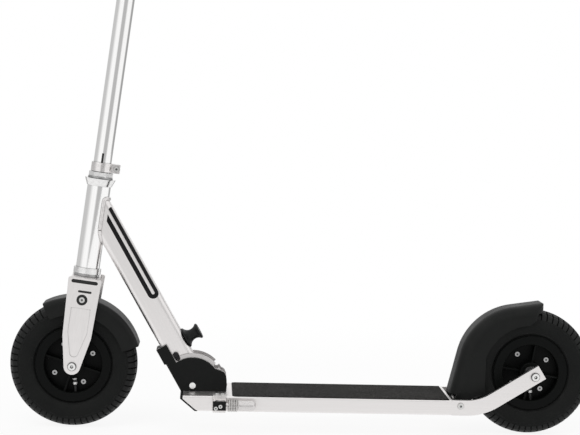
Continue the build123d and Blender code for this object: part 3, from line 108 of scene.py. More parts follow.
class ScooterStripeSettings(bpy.types.PropertyGroup):
    """Plain stripes on the down tube."""

    width: FloatProperty(name="Width", description="Width of one stripe", default=0.0068, unit="LENGTH")
    spacing: FloatProperty(
        name="Spacing", description="Distance between the two stripes' middles", default=0.0116, unit="LENGTH"
    )
    lower_end: FloatProperty(
        name="Lower end", description="Height of the bend above the fold pivot", default=0.158, unit="LENGTH"
    )
    upper_gap: FloatProperty(
        name="Upper gap", description="Bare length below the head tube", default=0.015, unit="LENGTH"
    )
    colour: FloatVectorProperty(
        name="Colour", description="Stripe colour", default=(0.006, 0.006, 0.0065), subtype="COLOR"
    )


class ScooterFinishSettings(bpy.types.PropertyGroup):
    """Colours of the metal and plastic pieces."""

    tube_metal: FloatVectorProperty(
        name="Tubes", description="Polished tube metal", default=(0.96, 0.955, 0.95), subtype="COLOR"
    )
    satin_metal: FloatVectorProperty(
        name="Satin metal", description="Deck, arms and fork", default=(0.88, 0.856, 0.848), subtype="COLOR"
    )
    black_coat: FloatVectorProperty(
        name="Black coat", description="Fold bracket coat", default=(0.005, 0.0055, 0.0053), subtype="COLOR"
    )
    black_plastic: FloatVectorProperty(
        name="Black plastic", description="Fenders and knob", default=(0.005, 0.0056, 0.0053), subtype="COLOR"
    )
    rim_plastic: FloatVectorProperty(
        name="Rims", description="Rim plastic", default=(0.002, 0.0024, 0.0022), subtype="COLOR"
    )
    tape: FloatVectorProperty(
        name="Grip tape", description="Deck grip tape", default=(0.0072, 0.0066, 0.006), subtype="COLOR"
    )
    bolt_metal: FloatVectorProperty(
        name="Bolts", description="Plated bolts and nuts", default=(0.72, 0.72, 0.71), subtype="COLOR"
    )


class ScooterStageSettings(bpy.types.PropertyGroup):
    """Floor, light and camera."""

    floor: FloatVectorProperty(
        name="Floor", description="Floor colour", default=(0.93, 0.93, 0.93), subtype="COLOR"
    )
    key_power: FloatProperty(
        name="Key light", description="Power of the key light", default=46.0, unit="POWER"
    )
    fill_power: FloatProperty(
        name="Fill light", description="Power of the fill and back lights", default=22.0, unit="POWER"
    )
    ambient: FloatProperty(name="Ambient", description="Light from all around", default=0.5)
    lens: FloatProperty(name="Lens", description="Camera focal length in millimetres", default=93.887)


# Shader node helpers


def put(tree, kind, feeds=None, **fields):
    """Adds a node, sets its fields, and links or sets its inputs."""
    made = tree.nodes.new(kind)
    for name, value in fields.items():
        setattr(made, name, value)
    for name, value in (feeds or {}).items():
        if isinstance(value, bpy.types.NodeSocket):
            tree.links.new(value, made.inputs[name])
        else:
            made.inputs[name].default_value = value
    return made


def math_node(tree, operation, first, second=0.0, clamp=False):
    """Output of a Math node."""
    feeds = {0: first, 1: second}
    return put(tree, "ShaderNodeMath", feeds, operation=operation, use_clamp=clamp).outputs[0]


def vector_node(tree, operation, first, second=(0.0, 0.0, 0.0)):
    """Output of a Vector Math node: a value for a length or a dot product, and a vector otherwise."""
    made = put(tree, "ShaderNodeVectorMath", {0: first, 1: second}, operation=operation).outputs
    return made["Value"] if operation in ("LENGTH", "DOT_PRODUCT") else made[0]


def axes(tree, vector):
    """X, Y and Z of a vector."""
    return put(tree, "ShaderNodeSeparateXYZ", {0: vector}).outputs


def noise(tree, place, scale, detail, **more):
    """Output of a Noise Texture node."""
    feeds = {"Vector": place, "Scale": scale, "Detail": detail, **more}
    return put(tree, "ShaderNodeTexNoise", feeds).outputs[0]


def remap(tree, value, from_low, from_high, to_low=0.0, to_high=1.0):
    """Output of a clamped Map Range node."""
    feeds = {0: value, 1: from_low, 2: from_high, 3: to_low, 4: to_high}
    return put(tree, "ShaderNodeMapRange", feeds).outputs[0]


def product(tree, mask, *others):
    """Clamped product of masks."""
    for other in others:
        mask = math_node(tree, "MULTIPLY", mask, other, clamp=True)
    return mask


def within(tree, value, low, high):
    """Output that is 1 between two values and 0 outside them."""
    above = math_node(tree, "GREATER_THAN", value, low)
    return product(tree, above, math_node(tree, "LESS_THAN", value, high))


def mix_colour(tree, factor, first, second):
    """Output of a colour Mix node."""
    return put(tree, "ShaderNodeMix", {0: factor, 6: first, 7: second}, data_type="RGBA").outputs[2]


# Shader groups that several finishes share


def start_group(name, inputs, outputs):
    """Makes a shader group and returns its tree, inputs and end; a default of None makes a vector."""
    tree = bpy.data.node_groups.new(name, "ShaderNodeTree")
    for label, value in inputs.items():
        kind = "NodeSocketVector" if value is None else "NodeSocketFloat"
        socket = tree.interface.new_socket(name=label, in_out="INPUT", socket_type=kind)
        if value is not None:
            socket.default_value = value
    for label in outputs:
        tree.interface.new_socket(name=label, in_out="OUTPUT", socket_type="NodeSocketFloat")
    return tree, tree.nodes.new("NodeGroupInput").outputs, tree.nodes.new("NodeGroupOutput")


def finish_group(tree, end, values):
    """Links a group's results to its output node."""
    for label, value in values.items():
        tree.links.new(value, end.inputs[label])
    return tree


def drawn_lines_group():
    """Fine lines left along a drawn or brushed piece; its Z axis runs along the lines."""
    inputs = {"Vector": None, "Across": 900.0, "Along": 12.0}
    tree, given, end = start_group("Drawn lines", inputs, ["Lines", "Broad"])
    feeds = {"X": given["Across"], "Y": given["Across"], "Z": given["Along"]}
    spread = put(tree, "ShaderNodeCombineXYZ", feeds).outputs[0]
    place = vector_node(tree, "MULTIPLY", given["Vector"], spread)
    lines = noise(tree, place, 1.0, 3.0, Roughness=0.6)
    return finish_group(tree, end, {"Lines": lines, "Broad": noise(tree, place, 0.12, 2.0)})


def moulded_grain_group():
    """Pebbled skin of a moulded or coated piece."""
    inputs = {"Vector": None, "Scale": 1500.0}
    tree, given, end = start_group("Moulded grain", inputs, ["Grain", "Height", "Broad"])
    place, scale = given["Vector"], given["Scale"]
    grain = noise(tree, place, scale, 4.0)
    feeds = {"Vector": place, "Scale": math_node(tree, "MULTIPLY", scale, 0.7), "Smoothness": 0.6}
    cells = put(tree, "ShaderNodeTexVoronoi", feeds, feature="SMOOTH_F1").outputs["Distance"]
    broad = noise(tree, place, math_node(tree, "MULTIPLY", scale, 0.014), 3.0)
    pebbles = math_node(tree, "MULTIPLY", cells, 0.6)
    height = math_node(tree, "ADD", math_node(tree, "MULTIPLY", grain, 0.55), pebbles)
    return finish_group(tree, end, {"Grain": grain, "Height": height, "Broad": broad})


def edge_wear_group():
    """Mask of rubbed edges, broken up by noise."""
    inputs = {"Vector": None, "Radius": 0.0008, "Amount": 0.5, "Scale": 90.0}
    tree, given, end = start_group("Edge wear", inputs, ["Mask"])
    rounded = put(tree, "ShaderNodeBevel", {"Radius": given["Radius"]}, samples=4).outputs[0]
    plain = tree.nodes.new("ShaderNodeNewGeometry").outputs["Normal"]
    edge = remap(tree, vector_node(tree, "DOT_PRODUCT", rounded, plain), 0.985, 0.86)
    broken = remap(tree, noise(tree, given["Vector"], given["Scale"], 5.0), 0.42, 0.62)
    return finish_group(tree, end, {"Mask": product(tree, edge, broken, given["Amount"])})


def dust_and_top_light_group():
    """Mask of dust in patches that doubles as painted top light: faces turned up get the most of it."""
    inputs = {"Vector": None, "Amount": 0.2, "Scale": 26.0}
    tree, given, end = start_group("Dust and top light", inputs, ["Mask"])
    normal = tree.nodes.new("ShaderNodeNewGeometry").outputs["Normal"]
    # Faces turned up are lightened most: painted top light as well as dust.
    facing = remap(tree, axes(tree, normal)["Z"], -0.3, 1.0, 0.12, 1.0)
    patch = remap(tree, noise(tree, given["Vector"], given["Scale"], 7.0), 0.38, 0.72, 0.1, 1.0)
    return finish_group(tree, end, {"Mask": product(tree, facing, patch, given["Amount"])})


def painted_corner_shade_group():
    """Mask of painted shade in sockets, seams and other close corners, strongest where a point sees least of
    its surroundings.
    """
    tree, given, end = start_group("Painted corner shade", {"Distance": 0.003, "Amount": 0.7}, ["Mask"])
    feeds = {"Distance": given["Distance"]}
    open_share = put(tree, "ShaderNodeAmbientOcclusion", feeds, samples=8).outputs["AO"]
    # Painted shade: the less open a point is, the darker it is painted.
    close = remap(tree, open_share, 0.35, 0.85, 1.0, 0.0)
    return finish_group(tree, end, {"Mask": product(tree, close, given["Amount"])})


GROUP_MAKERS = {
    "Drawn lines": drawn_lines_group,
    "Moulded grain": moulded_grain_group,
    "Edge wear": edge_wear_group,
    "Dust and top light": dust_and_top_light_group,
    "Painted corner shade": painted_corner_shade_group,
}
GROUPS = {}


def use_group(tree, name, feeds):
    """Places a shared group in a material, builds it on first use, and returns its outputs."""
    if name not in GROUPS:
        GROUPS[name] = GROUP_MAKERS[name]()
    return put(tree, "ShaderNodeGroup", feeds, node_tree=GROUPS[name]).outputs


# Finishes


def grey(level):
    """Grey with full alpha."""
    return (level, level, level, 1.0)


def rgba(colour, scale=1.0):
    """Colour with full alpha, made lighter or darker."""
    return (*(min(1.0, part * scale) for part in colour[:3]), 1.0)


# The two corner greys paint shade into close corners.
WHITE, CORNER_SHADE_GREY, CORNER_SHADE_BLACK = grey(1.0), grey(0.02), grey(0.002)
# Pale dust colour, which also stands for painted top light on faces turned up.
DUST_AND_TOP_LIGHT = (0.16, 0.15, 0.14, 1.0)
TAPE_DUST = (0.2, 0.19, 0.18, 1.0)
GRIT_GLINT_GREY = (0.42, 0.41, 0.4, 1.0)
BRIGHT_STEEL = (0.86, 0.86, 0.85)


def principled(tree):
    """Principled node of a material's tree."""
    return next(node for node in tree.nodes if node.type == "BSDF_PRINCIPLED")


def start_finish(name, metallic=0.0, gloss=0.5, turn=None):
    """Makes a material; returns it, its tree, its Principled node and its turned coordinates."""
    material = bpy.data.materials.new(name)
    material.use_nodes = True
    tree = material.node_tree
    shader = principled(tree)
    shader.inputs["Metallic"].default_value = metallic
    shader.inputs["Specular IOR Level"].default_value = gloss
    place = tree.nodes.new("ShaderNodeTexCoord").outputs["Object"]
    if turn:
        place = put(tree, "ShaderNodeMapping", {"Vector": place, "Rotation": turn}).outputs[0]
    return material, tree, shader, place


def feed(tree, shader, **values):
    """Links values to a shader's sockets, whose names have _ for a space here."""
    for label, value in values.items():
        tree.links.new(value, shader.inputs[label.replace("_", " ")])


def bump(tree, shader, height, strength, depth):
    """Feeds a height into the shader's normal."""
    feeds = {"Height": height, "Strength": strength, "Distance": depth}
    feed(tree, shader, Normal=put(tree, "ShaderNodeBump", feeds).outputs[0])


def layer(tree, base, colour, group, feeds):
    """Lays a colour over a base where a shared group's mask says."""
    return mix_colour(tree, use_group(tree, group, feeds)["Mask"], base, colour)


def drawn_metal(name, colour, rough, turn, across, along, tint=0.96):
    """Metal with fine lines along one direction."""
    material, tree, shader, place = start_finish(name, metallic=1.0, turn=turn)
    lines = use_group(tree, "Drawn lines", {"Vector": place, "Across": across, "Along": along})
    wear = {"Vector": place, "Radius": 0.0006, "Amount": 0.35, "Scale": 120.0}
    base = mix_colour(tree, remap(tree, lines["Lines"], 0.35, 0.65), rgba(colour, tint), rgba(colour))
    base = layer(tree, base, rgba(colour, 1.06), "Edge wear", wear)
    # Painted shade in close corners.
    base = layer(tree, base, CORNER_SHADE_GREY, "Painted corner shade", {"Amount": 0.6})
    mixed = math_node(tree, "ADD", lines["Lines"], math_node(tree, "MULTIPLY", lines["Broad"], 0.7))
    feed(tree, shader, Base_Color=base, Roughness=remap(tree, mixed, 0.55, 1.15, *rough))
    bump(tree, shader, lines["Lines"], strength=0.3, depth=0.00002)
    return material


def coated(name, colour, rough, scale, strength, depth, gloss=0.5, wear=None, dust_and_top_light=0.0, corner_shade=0.0):
    """Moulded plastic, rubber, film or powder coat with grain, rubbed edges, dust that also paints top light,
    and painted shade in close corners.
    """
    material, tree, shader, place = start_finish(name, gloss=gloss)
    grain = use_group(tree, "Moulded grain", {"Vector": place, "Scale": scale})
    blend = remap(tree, grain["Broad"], 0.35, 0.65)
    base = mix_colour(tree, blend, rgba(colour, 0.82), rgba(colour, 1.15))
    if wear:
        level, radius, amount = wear
        edges = {"Vector": place, "Radius": radius, "Amount": amount}
        base = layer(tree, base, grey(level), "Edge wear", edges)
    # Dust in patches, with painted top light on faces turned up.
    if dust_and_top_light:
        base = layer(tree, base, DUST_AND_TOP_LIGHT, "Dust and top light", {"Vector": place, "Amount": dust_and_top_light})
    # Painted shade in close corners.
    if corner_shade:
        base = layer(tree, base, CORNER_SHADE_BLACK, "Painted corner shade", {"Distance": 0.004, "Amount": corner_shade})
    mixed = math_node(tree, "ADD", grain["Grain"], grain["Broad"])
    feed(tree, shader, Base_Color=base, Roughness=remap(tree, mixed, 0.7, 1.3, *rough))
    bump(tree, shader, grain["Height"], strength, depth)
    return material


def plated(name, colour, rough, scale=420.0, depth=0.00003):
    """Plated or turned steel with a faint mottle and rubbed edges."""
    material, tree, shader, place = start_finish(name, metallic=1.0)
    grain = use_group(tree, "Moulded grain", {"Vector": place, "Scale": scale})
    wear = {"Vector": place, "Radius": 0.0004, "Amount": 0.6, "Scale": 300.0}
    base = mix_colour(tree, remap(tree, grain["Grain"], 0.35, 0.65), rgba(colour, 0.84), rgba(colour))
    base = layer(tree, base, rgba(colour, 1.15), "Edge wear", wear)
    # Painted shade in close corners.
    base = layer(tree, base, CORNER_SHADE_GREY, "Painted corner shade", {"Amount": 0.85})
    feed(tree, shader, Base_Color=base, Roughness=remap(tree, grain["Grain"], 0.3, 0.7, *rough))
    bump(tree, shader, grain["Height"], 0.25, depth)
    return material


def object_place(tree, origin=(0.0, 0.0, 0.0)):
    """Place on the object, in metres from an origin in millimetres."""
    place = tree.nodes.new("ShaderNodeTexCoord").outputs["Object"]
    return vector_node(tree, "SUBTRACT", place, Vector(origin) * MM)


def overlay(material, mask, colour, metallic):
    """Turns a masked part of a finish to another colour, of metal or not."""
    tree = material.node_tree
    shader = principled(tree)
    base = shader.inputs["Base Color"].links[0].from_socket
    share = remap(tree, mask, 0.0, 1.0, 1.0 - metallic, metallic)
    feed(tree, shader, Base_Color=mix_colour(tree, mask, base, rgba(colour)), Metallic=share)
    return material


def tape_finish(colour):
    """Coarse mineral grip tape: cells of grit, a few of them painted light as glints."""
    material, tree, shader, place = start_finish("grip tape grit", gloss=0.1)
    feeds = {"Vector": place, "Scale": 1250.0, "Randomness": 1.0}
    cells = put(tree, "ShaderNodeTexVoronoi", feeds).outputs
    shade = put(tree, "ShaderNodeSeparateColor", {0: cells["Color"]}).outputs
    grain = use_group(tree, "Moulded grain", {"Vector": place, "Scale": 2600.0})
    base = mix_colour(tree, shade[0], rgba(colour, 0.55), rgba(colour, 1.6))
    # Painted glints: a few grit cells are lightened.
    base = mix_colour(tree, remap(tree, shade[1], 0.955, 0.985, 0.0, 0.22), base, GRIT_GLINT_GREY)
    dust_and_top_light = {"Vector": place, "Amount": 0.04, "Scale": 18.0}
    base = layer(tree, base, TAPE_DUST, "Dust and top light", dust_and_top_light)
    feed(tree, shader, Base_Color=base, Roughness=remap(tree, shade[2], 0.0, 1.0, 0.6, 0.95))
    grit = math_node(tree, "SUBTRACT", 1.0, cells["Distance"])
    height = math_node(tree, "ADD", grit, math_node(tree, "MULTIPLY", grain["Grain"], 0.5))
    bump(tree, shader, height, strength=0.85, depth=0.00035)
    return material


def dress(material, *names):
    """Gives CAD nodes a finish."""
    for name in names:
        slots = NODES[name].data.materials
        slots.clear()
        slots.append(material)


# Mesh helpers


def make_piece(name, points, faces, material, body, stands_for=(), crease=38.0):
    """Makes a smooth-shaded mesh piece in metres from points in millimetres and rides it on a body."""
    mesh = bpy.data.meshes.new(name)
    mesh.from_pydata([Vector(point) * MM for point in points], [], faces)
    work = bmesh.new()
    work.from_mesh(mesh)
    bmesh.ops.recalc_face_normals(work, faces=work.faces)
    work.to_mesh(mesh)
    work.free()
    mesh.shade_smooth()
    mesh.set_sharp_from_angle(angle=math.radians(crease))
    mesh.materials.append(material)
    piece = bpy.data.objects.new(name, mesh)
    bpy.context.scene.collection.objects.link(piece)
    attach(piece, body)
    if stands_for:
        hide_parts(*stands_for)
    return piece


def arc_points(first, through, last, shares):
    """Points at shares of the arc through three points, each with its way out, and the arc's length."""
    ax, ay = first
    bx, by = through
    cx, cy = last
    double = 2 * (ax * (by - cy) + bx * (cy - ay) + cx * (ay - by))
    a2, b2, c2 = ax * ax + ay * ay, bx * bx + by * by, cx * cx + cy * cy
    ux = (a2 * (by - cy) + b2 * (cy - ay) + c2 * (ay - by)) / double
    uy = (a2 * (cx - bx) + b2 * (ax - cx) + c2 * (bx - ax)) / double
    radius = math.hypot(ax - ux, ay - uy)
    start = math.atan2(ay - uy, ax - ux)
    way_through = (math.atan2(by - uy, bx - ux) - start) % (2 * math.pi)
    way_last = (math.atan2(cy - uy, cx - ux) - start) % (2 * math.pi)
    sweep = way_last if way_through < way_last else way_last - 2 * math.pi
    found = []
    for share in shares:
        out_x, out_y = math.cos(start + sweep * share), math.sin(start + sweep * share)
        found.append((ux + radius * out_x, uy + radius * out_y, out_x, out_y))
    return found, abs(sweep) * radius


def grid_faces(columns, rows, closed_columns=True, closed_rows=True):
    """Faces of a grid of points, closed or open around its columns and its rows."""
    faces = []
    for column in range(columns if closed_columns else columns - 1):
        here, after = column * rows, (column + 1) % columns * rows
        for row in range(rows if closed_rows else rows - 1):
            below = (row + 1) % rows
            faces.append((here + row, after + row, after + below, here + below))
    return faces


def bead(path, radius, ripple, sides=10):
    """Closed weld bead along a closed path, with a ripple at every other point."""
    count = len(path)
    points = []
    for index in range(count):
        here = path[index]
        along = (path[(index + 1) % count] - path[index - 1]).normalized()
        side = along.cross(Vector((0.0, 0.0, 1.0)))
        if side.length < 0.1:
            side = along.cross(Vector((1.0, 0.0, 0.0)))
        side.normalize()
        lift = side.cross(along)
        size = radius * (1.0 + ripple * (1 if index % 2 else -1))
        for step in range(sides):
            angle = 2 * math.pi * step / sides
            points.append(here + side * (size * math.cos(angle)) + lift * (size * math.sin(angle)))
    return points, grid_faces(count, sides)


def even_path(path, count):
    """Same closed path with evenly spaced points."""
    lengths = [0.0]
    for index in range(len(path)):
        lengths.append(lengths[-1] + (path[(index + 1) % len(path)] - path[index]).length)
    spaced = []
    index = 0
    for step in range(count):
        target = lengths[-1] * step / count
        while lengths[index + 1] < target:
            index += 1
        share = (target - lengths[index]) / (lengths[index + 1] - lengths[index])
        spaced.append(path[index].lerp(path[(index + 1) % len(path)], share))
    return spaced


# Tyres, in millimetres: points are (radius, across), and stops are distances from the crown's middle.
# Rings around a tyre are (first stop, last stop, depth), and stand out where the depth is below zero.


CROWN = ((94.0, 18.5), (100.0, 0.0), (94.0, -18.5))
WALL = ((94.0, 18.5), (78.0, 24.0), (60.0, 17.8))
RIM_SEAT = ((60.0, 17.8), (52.2, 17.8), (52.2, 11.8), (60.0, 11.8))
LINING = ((60.0, 11.8), (78.0, 19.0), (90.0, 12.5))
LINING_RADIUS = 94.0
HALF_WIDTH = 24.0
BLOCKS_FROM, BLOCKS_TO = 6.8, 28.5
SHOULDER_SHALLOWING = 0.3
RINGS = ((5.2, 6.6, 1.7), (14.5, 15.4, 0.8), (31.4, 32.2, -0.35), (51.6, 52.6, -0.4))
RING_FLANK = 0.3
PLAIN_STOPS = (0.0, 2.4, 9.0, 11.6, 17.2, 18.6, 20.2, 22.4, 24.8, 27.0, 28.3, 28.8, 30.0)
WALL_STOPS = (35.0, 38.5, 42.0, 45.5, 49.0, 54.6)
BLOCK_SWEEP = 0.018
STAGGER, STAGGER_BAND = 0.25, 5.0
GAP_FLANK, FACE_FLANK = 0.04, 0.2


def tyre_section(depth):
    """Outline as (radius, across, outward radius, outward across, gap depth, ring depth) rows."""
    crown_length = arc_points(*CROWN, [])[1] / 2
    wall_length = arc_points(*WALL, [])[1]
    rings = dict.fromkeys((*PLAIN_STOPS, *WALL_STOPS), 0.0)
    for start, end, ring in RINGS:
        rings.update({start - RING_FLANK: 0.0, start: ring, end: ring, end + RING_FLANK: 0.0})
    side = []
    for stop, ring in sorted(rings.items()):
        if stop < crown_length:
            found = arc_points(*CROWN, [0.5 - 0.5 * stop / crown_length])[0][0]
        else:
            found = arc_points(*WALL, [(stop - crown_length) / wall_length])[0][0]
        gap = 0.0
        if BLOCKS_FROM < stop < BLOCKS_TO:
            out = (stop - BLOCKS_FROM) / (BLOCKS_TO - BLOCKS_FROM)
            gap = depth * (1.0 - SHOULDER_SHALLOWING * out)
        side.append((*found, gap, ring))
    lining = [point[:2] for point in arc_points(*LINING, [0.25, 0.5, 0.75, 1.0])[0]]
    half = side[1:] + [(*point, 0.0, 0.0, 0.0, 0.0) for point in (*RIM_SEAT, *lining)]
    mirrored = [(row[0], -row[1], row[2], -row[3], row[4], row[5]) for row in reversed(half)]
    return [side[0]] + half + [(LINING_RADIUS, 0.0, 0.0, 0.0, 0.0, 0.0)] + mirrored


def tyre_mesh(centre, settings):
    """Points and faces of one treaded tyre around its axle, and each face's material slot."""
    section = tyre_section(settings.block_depth / MM)
    gap = settings.gap_share
    face = 1.0 - gap
    marks = [0.0, GAP_FLANK, gap - GAP_FLANK]
    marks += [gap, gap + FACE_FLANK * face, gap + 0.5 * face, 1.0 - FACE_FLANK * face]
    # Marks that lie on a gap's floor, and marks that a block's face starts from
    floor = {1, 2}
    faced = {3, 4, 5, 6}
    pitch = 2 * math.pi / settings.blocks
    points = []
    for block in range(settings.blocks):
        for number, mark in enumerate(marks):
            for radius, across, out_r, out_a, gap_depth, ring_depth in section:
                stagger = pitch * STAGGER * max(-1.0, min(1.0, across / STAGGER_BAND))
                angle = (block + mark) * pitch + BLOCK_SWEEP * abs(across) / HALF_WIDTH + stagger
                dig = ring_depth
                if number in floor and ring_depth >= 0.0:
                    dig = max(gap_depth, ring_depth)
                reach = radius - out_r * dig
                x, z = centre.x + reach * math.cos(angle), centre.z + reach * math.sin(angle)
                points.append((x, across - out_a * dig, z))
    columns, rows = settings.blocks * len(marks), len(section)
    tread = [row[4] > 0.0 and after[4] > 0.0 for row, after in zip(section, section[1:] + section[:1])]
    slots = [int(band and column % len(marks) in faced) for column in range(columns) for band in tread]
    return points, grid_faces(columns, rows), slots


class ScooterTyres(bpy.types.Operator):
    """Puts a treaded rubber tyre on each wheel."""

    bl_idname = "scooter.tyres"
    bl_label = "Tyres"

    def execute(self, context):
        settings = context.scene.scooter_tyres
        worn = (0.03, 0.0007, 0.7)
        # The tyre rubber gets painted shade in its close corners and dust with painted top light.
        rubber = coated(
            "tyre rubber", settings.rubber, rough=(0.5, 0.78), scale=1100.0, strength=0.4, depth=0.00012,
            gloss=0.14, wear=worn, dust_and_top_light=0.045, corner_shade=0.85,
        )
        blocks = coated(
            "tread block rubber", settings.block_rubber, rough=(0.4, 0.58), scale=900.0, strength=0.4,
            depth=0.00012, gloss=0.2, wear=worn, dust_and_top_light=0.035,
        )
        for end in ENDS:
            node = end + "_tyre"
            points, faces, slots = tyre_mesh(middle(node) / MM, settings)
            tyre = make_piece(
                node + "_tread", points, faces, rubber, end + "_wheel", [node], crease=32.0
            )
            tyre.data.materials.append(blocks)
            tyre.data.polygons.foreach_set("material_index", slots)
        return {"FINISHED"}


# Grips, in millimetres: points are (radius, distance from the closed end).
# A rib's points are (share of its pitch, share of its depth).


GRIP_RADIUS, GRIP_LENGTH, GRIP_BORE, GRIP_END_WALL = 16.5, 125.0, 11.15, 4.0
GRIP_END = ((0.0, 0.0), (8.0, 0.0), (14.3, 0.0), (15.6, 0.5), (16.3, 1.3), (GRIP_RADIUS, 2.4))
GRIP_GROOVES = (((GRIP_RADIUS, 7.0), (16.1, 7.6)), ((16.1, 114.6), (GRIP_RADIUS, 115.4)))
GRIP_FLANGE = ((GRIP_RADIUS, 118.4), (17.0, 119.4), (18.4, 120.2), (18.9, 121.0), (19.0, 122.0))
GRIP_FLANGE_BACK = ((18.9, 123.6), (18.3, 124.6), (17.4, GRIP_LENGTH), (GRIP_BORE, GRIP_LENGTH))
GRIP_FLOOR = ((GRIP_BORE, GRIP_END_WALL), (0.0, GRIP_END_WALL))
RIB = ((0.0, 1.0), (0.16, 1.0), (0.26, 0.25), (0.4, 0.0), (0.72, 0.0), (0.86, 0.25))
RIBS_FROM, RIBS_TO = 9.0, 114.0
NOTCH_COLUMNS = 6


def grip_section(settings):
    """Half section of one grip from its closed end to its collar, as (radius, distance, rib depth)."""
    pitch = (RIBS_TO - RIBS_FROM) / settings.ribs
    ribs = []
    for rib in range(settings.ribs):
        for share, drop in RIB:
            ribs.append((GRIP_RADIUS, RIBS_FROM + (rib + share) * pitch, drop * settings.rib_depth / MM))
    before = GRIP_END + GRIP_GROOVES[0]
    after = GRIP_GROOVES[1] + GRIP_FLANGE + GRIP_FLANGE_BACK + GRIP_FLOOR
    return [(*point, 0.0) for point in before] + ribs + [(*point, 0.0) for point in after]


def grip_mesh(centre, hand, settings, columns=72):
    """Points and faces of one ribbed grip."""
    section = grip_section(settings)
    rows = len(section) - 2
    end = centre.y + GRIP_LENGTH / 2 * hand
    points = []
    for column in range(columns):
        angle = 2 * math.pi * column / columns
        for radius, along, drop in section[1:-1]:
            notched = drop > 0.0 and column % NOTCH_COLUMNS == 0
            reach = radius - (settings.rib_depth / MM if notched else drop)
            x, z = centre.x + reach * math.cos(angle), centre.z + reach * math.sin(angle)
            points.append((x, end - along * hand, z))
    faces = grid_faces(columns, rows, closed_rows=False)
    for row, pole in ((0, section[0]), (rows - 1, section[-1])):
        points.append((centre.x, end - pole[1] * hand, centre.z))
        for column in range(columns):
            faces.append((len(points) - 1, column * rows + row, (column + 1) % columns * rows + row))
    return points, faces


class ScooterGrips(bpy.types.Operator):
    """Puts a ribbed rubber grip on each end of the crossbar."""

    bl_idname = "scooter.grips"
    bl_label = "Grips"

    def execute(self, context):
        settings = context.scene.scooter_grips
        rubber = coated(
            "grip rubber", settings.rubber, rough=(0.55, 0.8), scale=1700.0, strength=0.35, depth=0.0001,
            gloss=0.3, dust_and_top_light=0.05,
        )
        for hand, name in ((1, "grip_left"), (-1, "grip_right")):
            points, faces = grip_mesh(middle(name) / MM, hand, settings)
            make_piece(name + "_sleeve", points, faces, rubber, "handlebar", [name], crease=50.0)
        return {"FINISHED"}


# Down tube stripes and welds, in millimetres


TUBE_FOOT = Vector((174.45, 0.0, 70.0))
TUBE_ALONG = Vector((math.sin(TUBE_LEAN), 0.0, math.cos(TUBE_LEAN)))
TUBE_AHEAD = Vector((math.cos(TUBE_LEAN), 0.0, -math.sin(TUBE_LEAN)))
TUBE_BACK, TUBE_FRONT, TUBE_HALF, TUBE_CORNER = -24.9, 16.1, 15.0, 8.0
STEER_FOOT = Vector((362.25, 0.0, 100.0))
STEER_ALONG = Vector((-math.sin(STEER_LEAN), 0.0, math.cos(STEER_LEAN)))
STEER_AHEAD = Vector((math.cos(STEER_LEAN), 0.0, math.sin(STEER_LEAN)))
HEAD_RADIUS = 18.7
UPPER_TUBE_RADIUS, CROSSBAR_RADIUS = 12.4, 11.1
STRIPE_MIDDLE = -0.85
STRIPE_RUN_STEPS, STRIPE_BEND_STEPS = 25, 16
CORNER_STEPS, BAR_WELD_STEPS = 12, 120
FILM_ROWS = ((-0.5, 0.05), (-0.35, 0.14), (-0.15, 0.14), (0.15, 0.14), (0.35, 0.14), (0.5, 0.05))
FILM_SUNK = -0.12


def tube_point(ahead, across, along):
    """Point of the down tube's own grid."""
    return TUBE_FOOT + TUBE_AHEAD * ahead + TUBE_ALONG * along + Vector((0.0, across, 0.0))


def head_reach(ahead, across):
    """Distance along the down tube at which a line on it meets the head tube."""
    start = (tube_point(ahead, 0.0, 0.0) - STEER_FOOT).dot(STEER_AHEAD)
    touch = -math.sqrt(HEAD_RADIUS**2 - across**2)
    return (touch - start) / TUBE_ALONG.dot(STEER_AHEAD)


def tube_skin(around):
    """Place and way out on the tube's left side, by the distance around from its rear corner's start."""
    if around <= 0.0:
        return TUBE_BACK + TUBE_CORNER - around, TUBE_HALF, 0.0, 1.0
    angle = around / TUBE_CORNER
    ahead = TUBE_BACK + TUBE_CORNER - TUBE_CORNER * math.sin(angle)
    across = TUBE_HALF - TUBE_CORNER + TUBE_CORNER * math.cos(angle)
    return ahead, across, -math.sin(angle), math.cos(angle)


def stripe_path(settings):
    """Middle line of the folded stripe as (around, drop, sideways around, sideways drop, rise) rows."""
    half = settings.spacing / MM / 2
    rises = [step / STRIPE_RUN_STEPS for step in range(STRIPE_RUN_STEPS + 1)]
    path = [(STRIPE_MIDDLE + half, 0.0, 1.0, 0.0, rise) for rise in reversed(rises)]
    for step in range(1, STRIPE_BEND_STEPS):
        angle = math.pi * step / STRIPE_BEND_STEPS
        side, down = math.cos(angle), math.sin(angle)
        path.append((STRIPE_MIDDLE + half * side, half * down, side, down, 0.0))
    return path + [(STRIPE_MIDDLE - half, 0.0, -1.0, 0.0, rise) for rise in rises]


def stripe_mesh(hand, settings):
    """Points and faces of the folded stripe on one side, a thin closed film cut along the head tube."""
    width = settings.width / MM
    low = settings.lower_end / MM
    points = []
    path = stripe_path(settings)
    for around, drop, out_around, out_drop, rise in path:
        top, foot = [], []
        for share, lift in FILM_ROWS:
            ahead, across, out_ahead, out_across = tube_skin(around + out_around * width * share)
            reach = head_reach(ahead, across) - settings.upper_gap / MM - low
            up = low - drop - out_drop * width * share + rise * reach
            for row, height in ((top, lift), (foot, FILM_SUNK)):
                row.append(tube_point(ahead + out_ahead * height, (across + out_across * height) * hand, up))
        points += top + foot[::-1]
    rows = 2 * len(FILM_ROWS)
    faces = grid_faces(len(path), rows, closed_columns=False)
    faces += [tuple(range(rows)), tuple(range(len(points) - rows, len(points)))]
    return points, faces


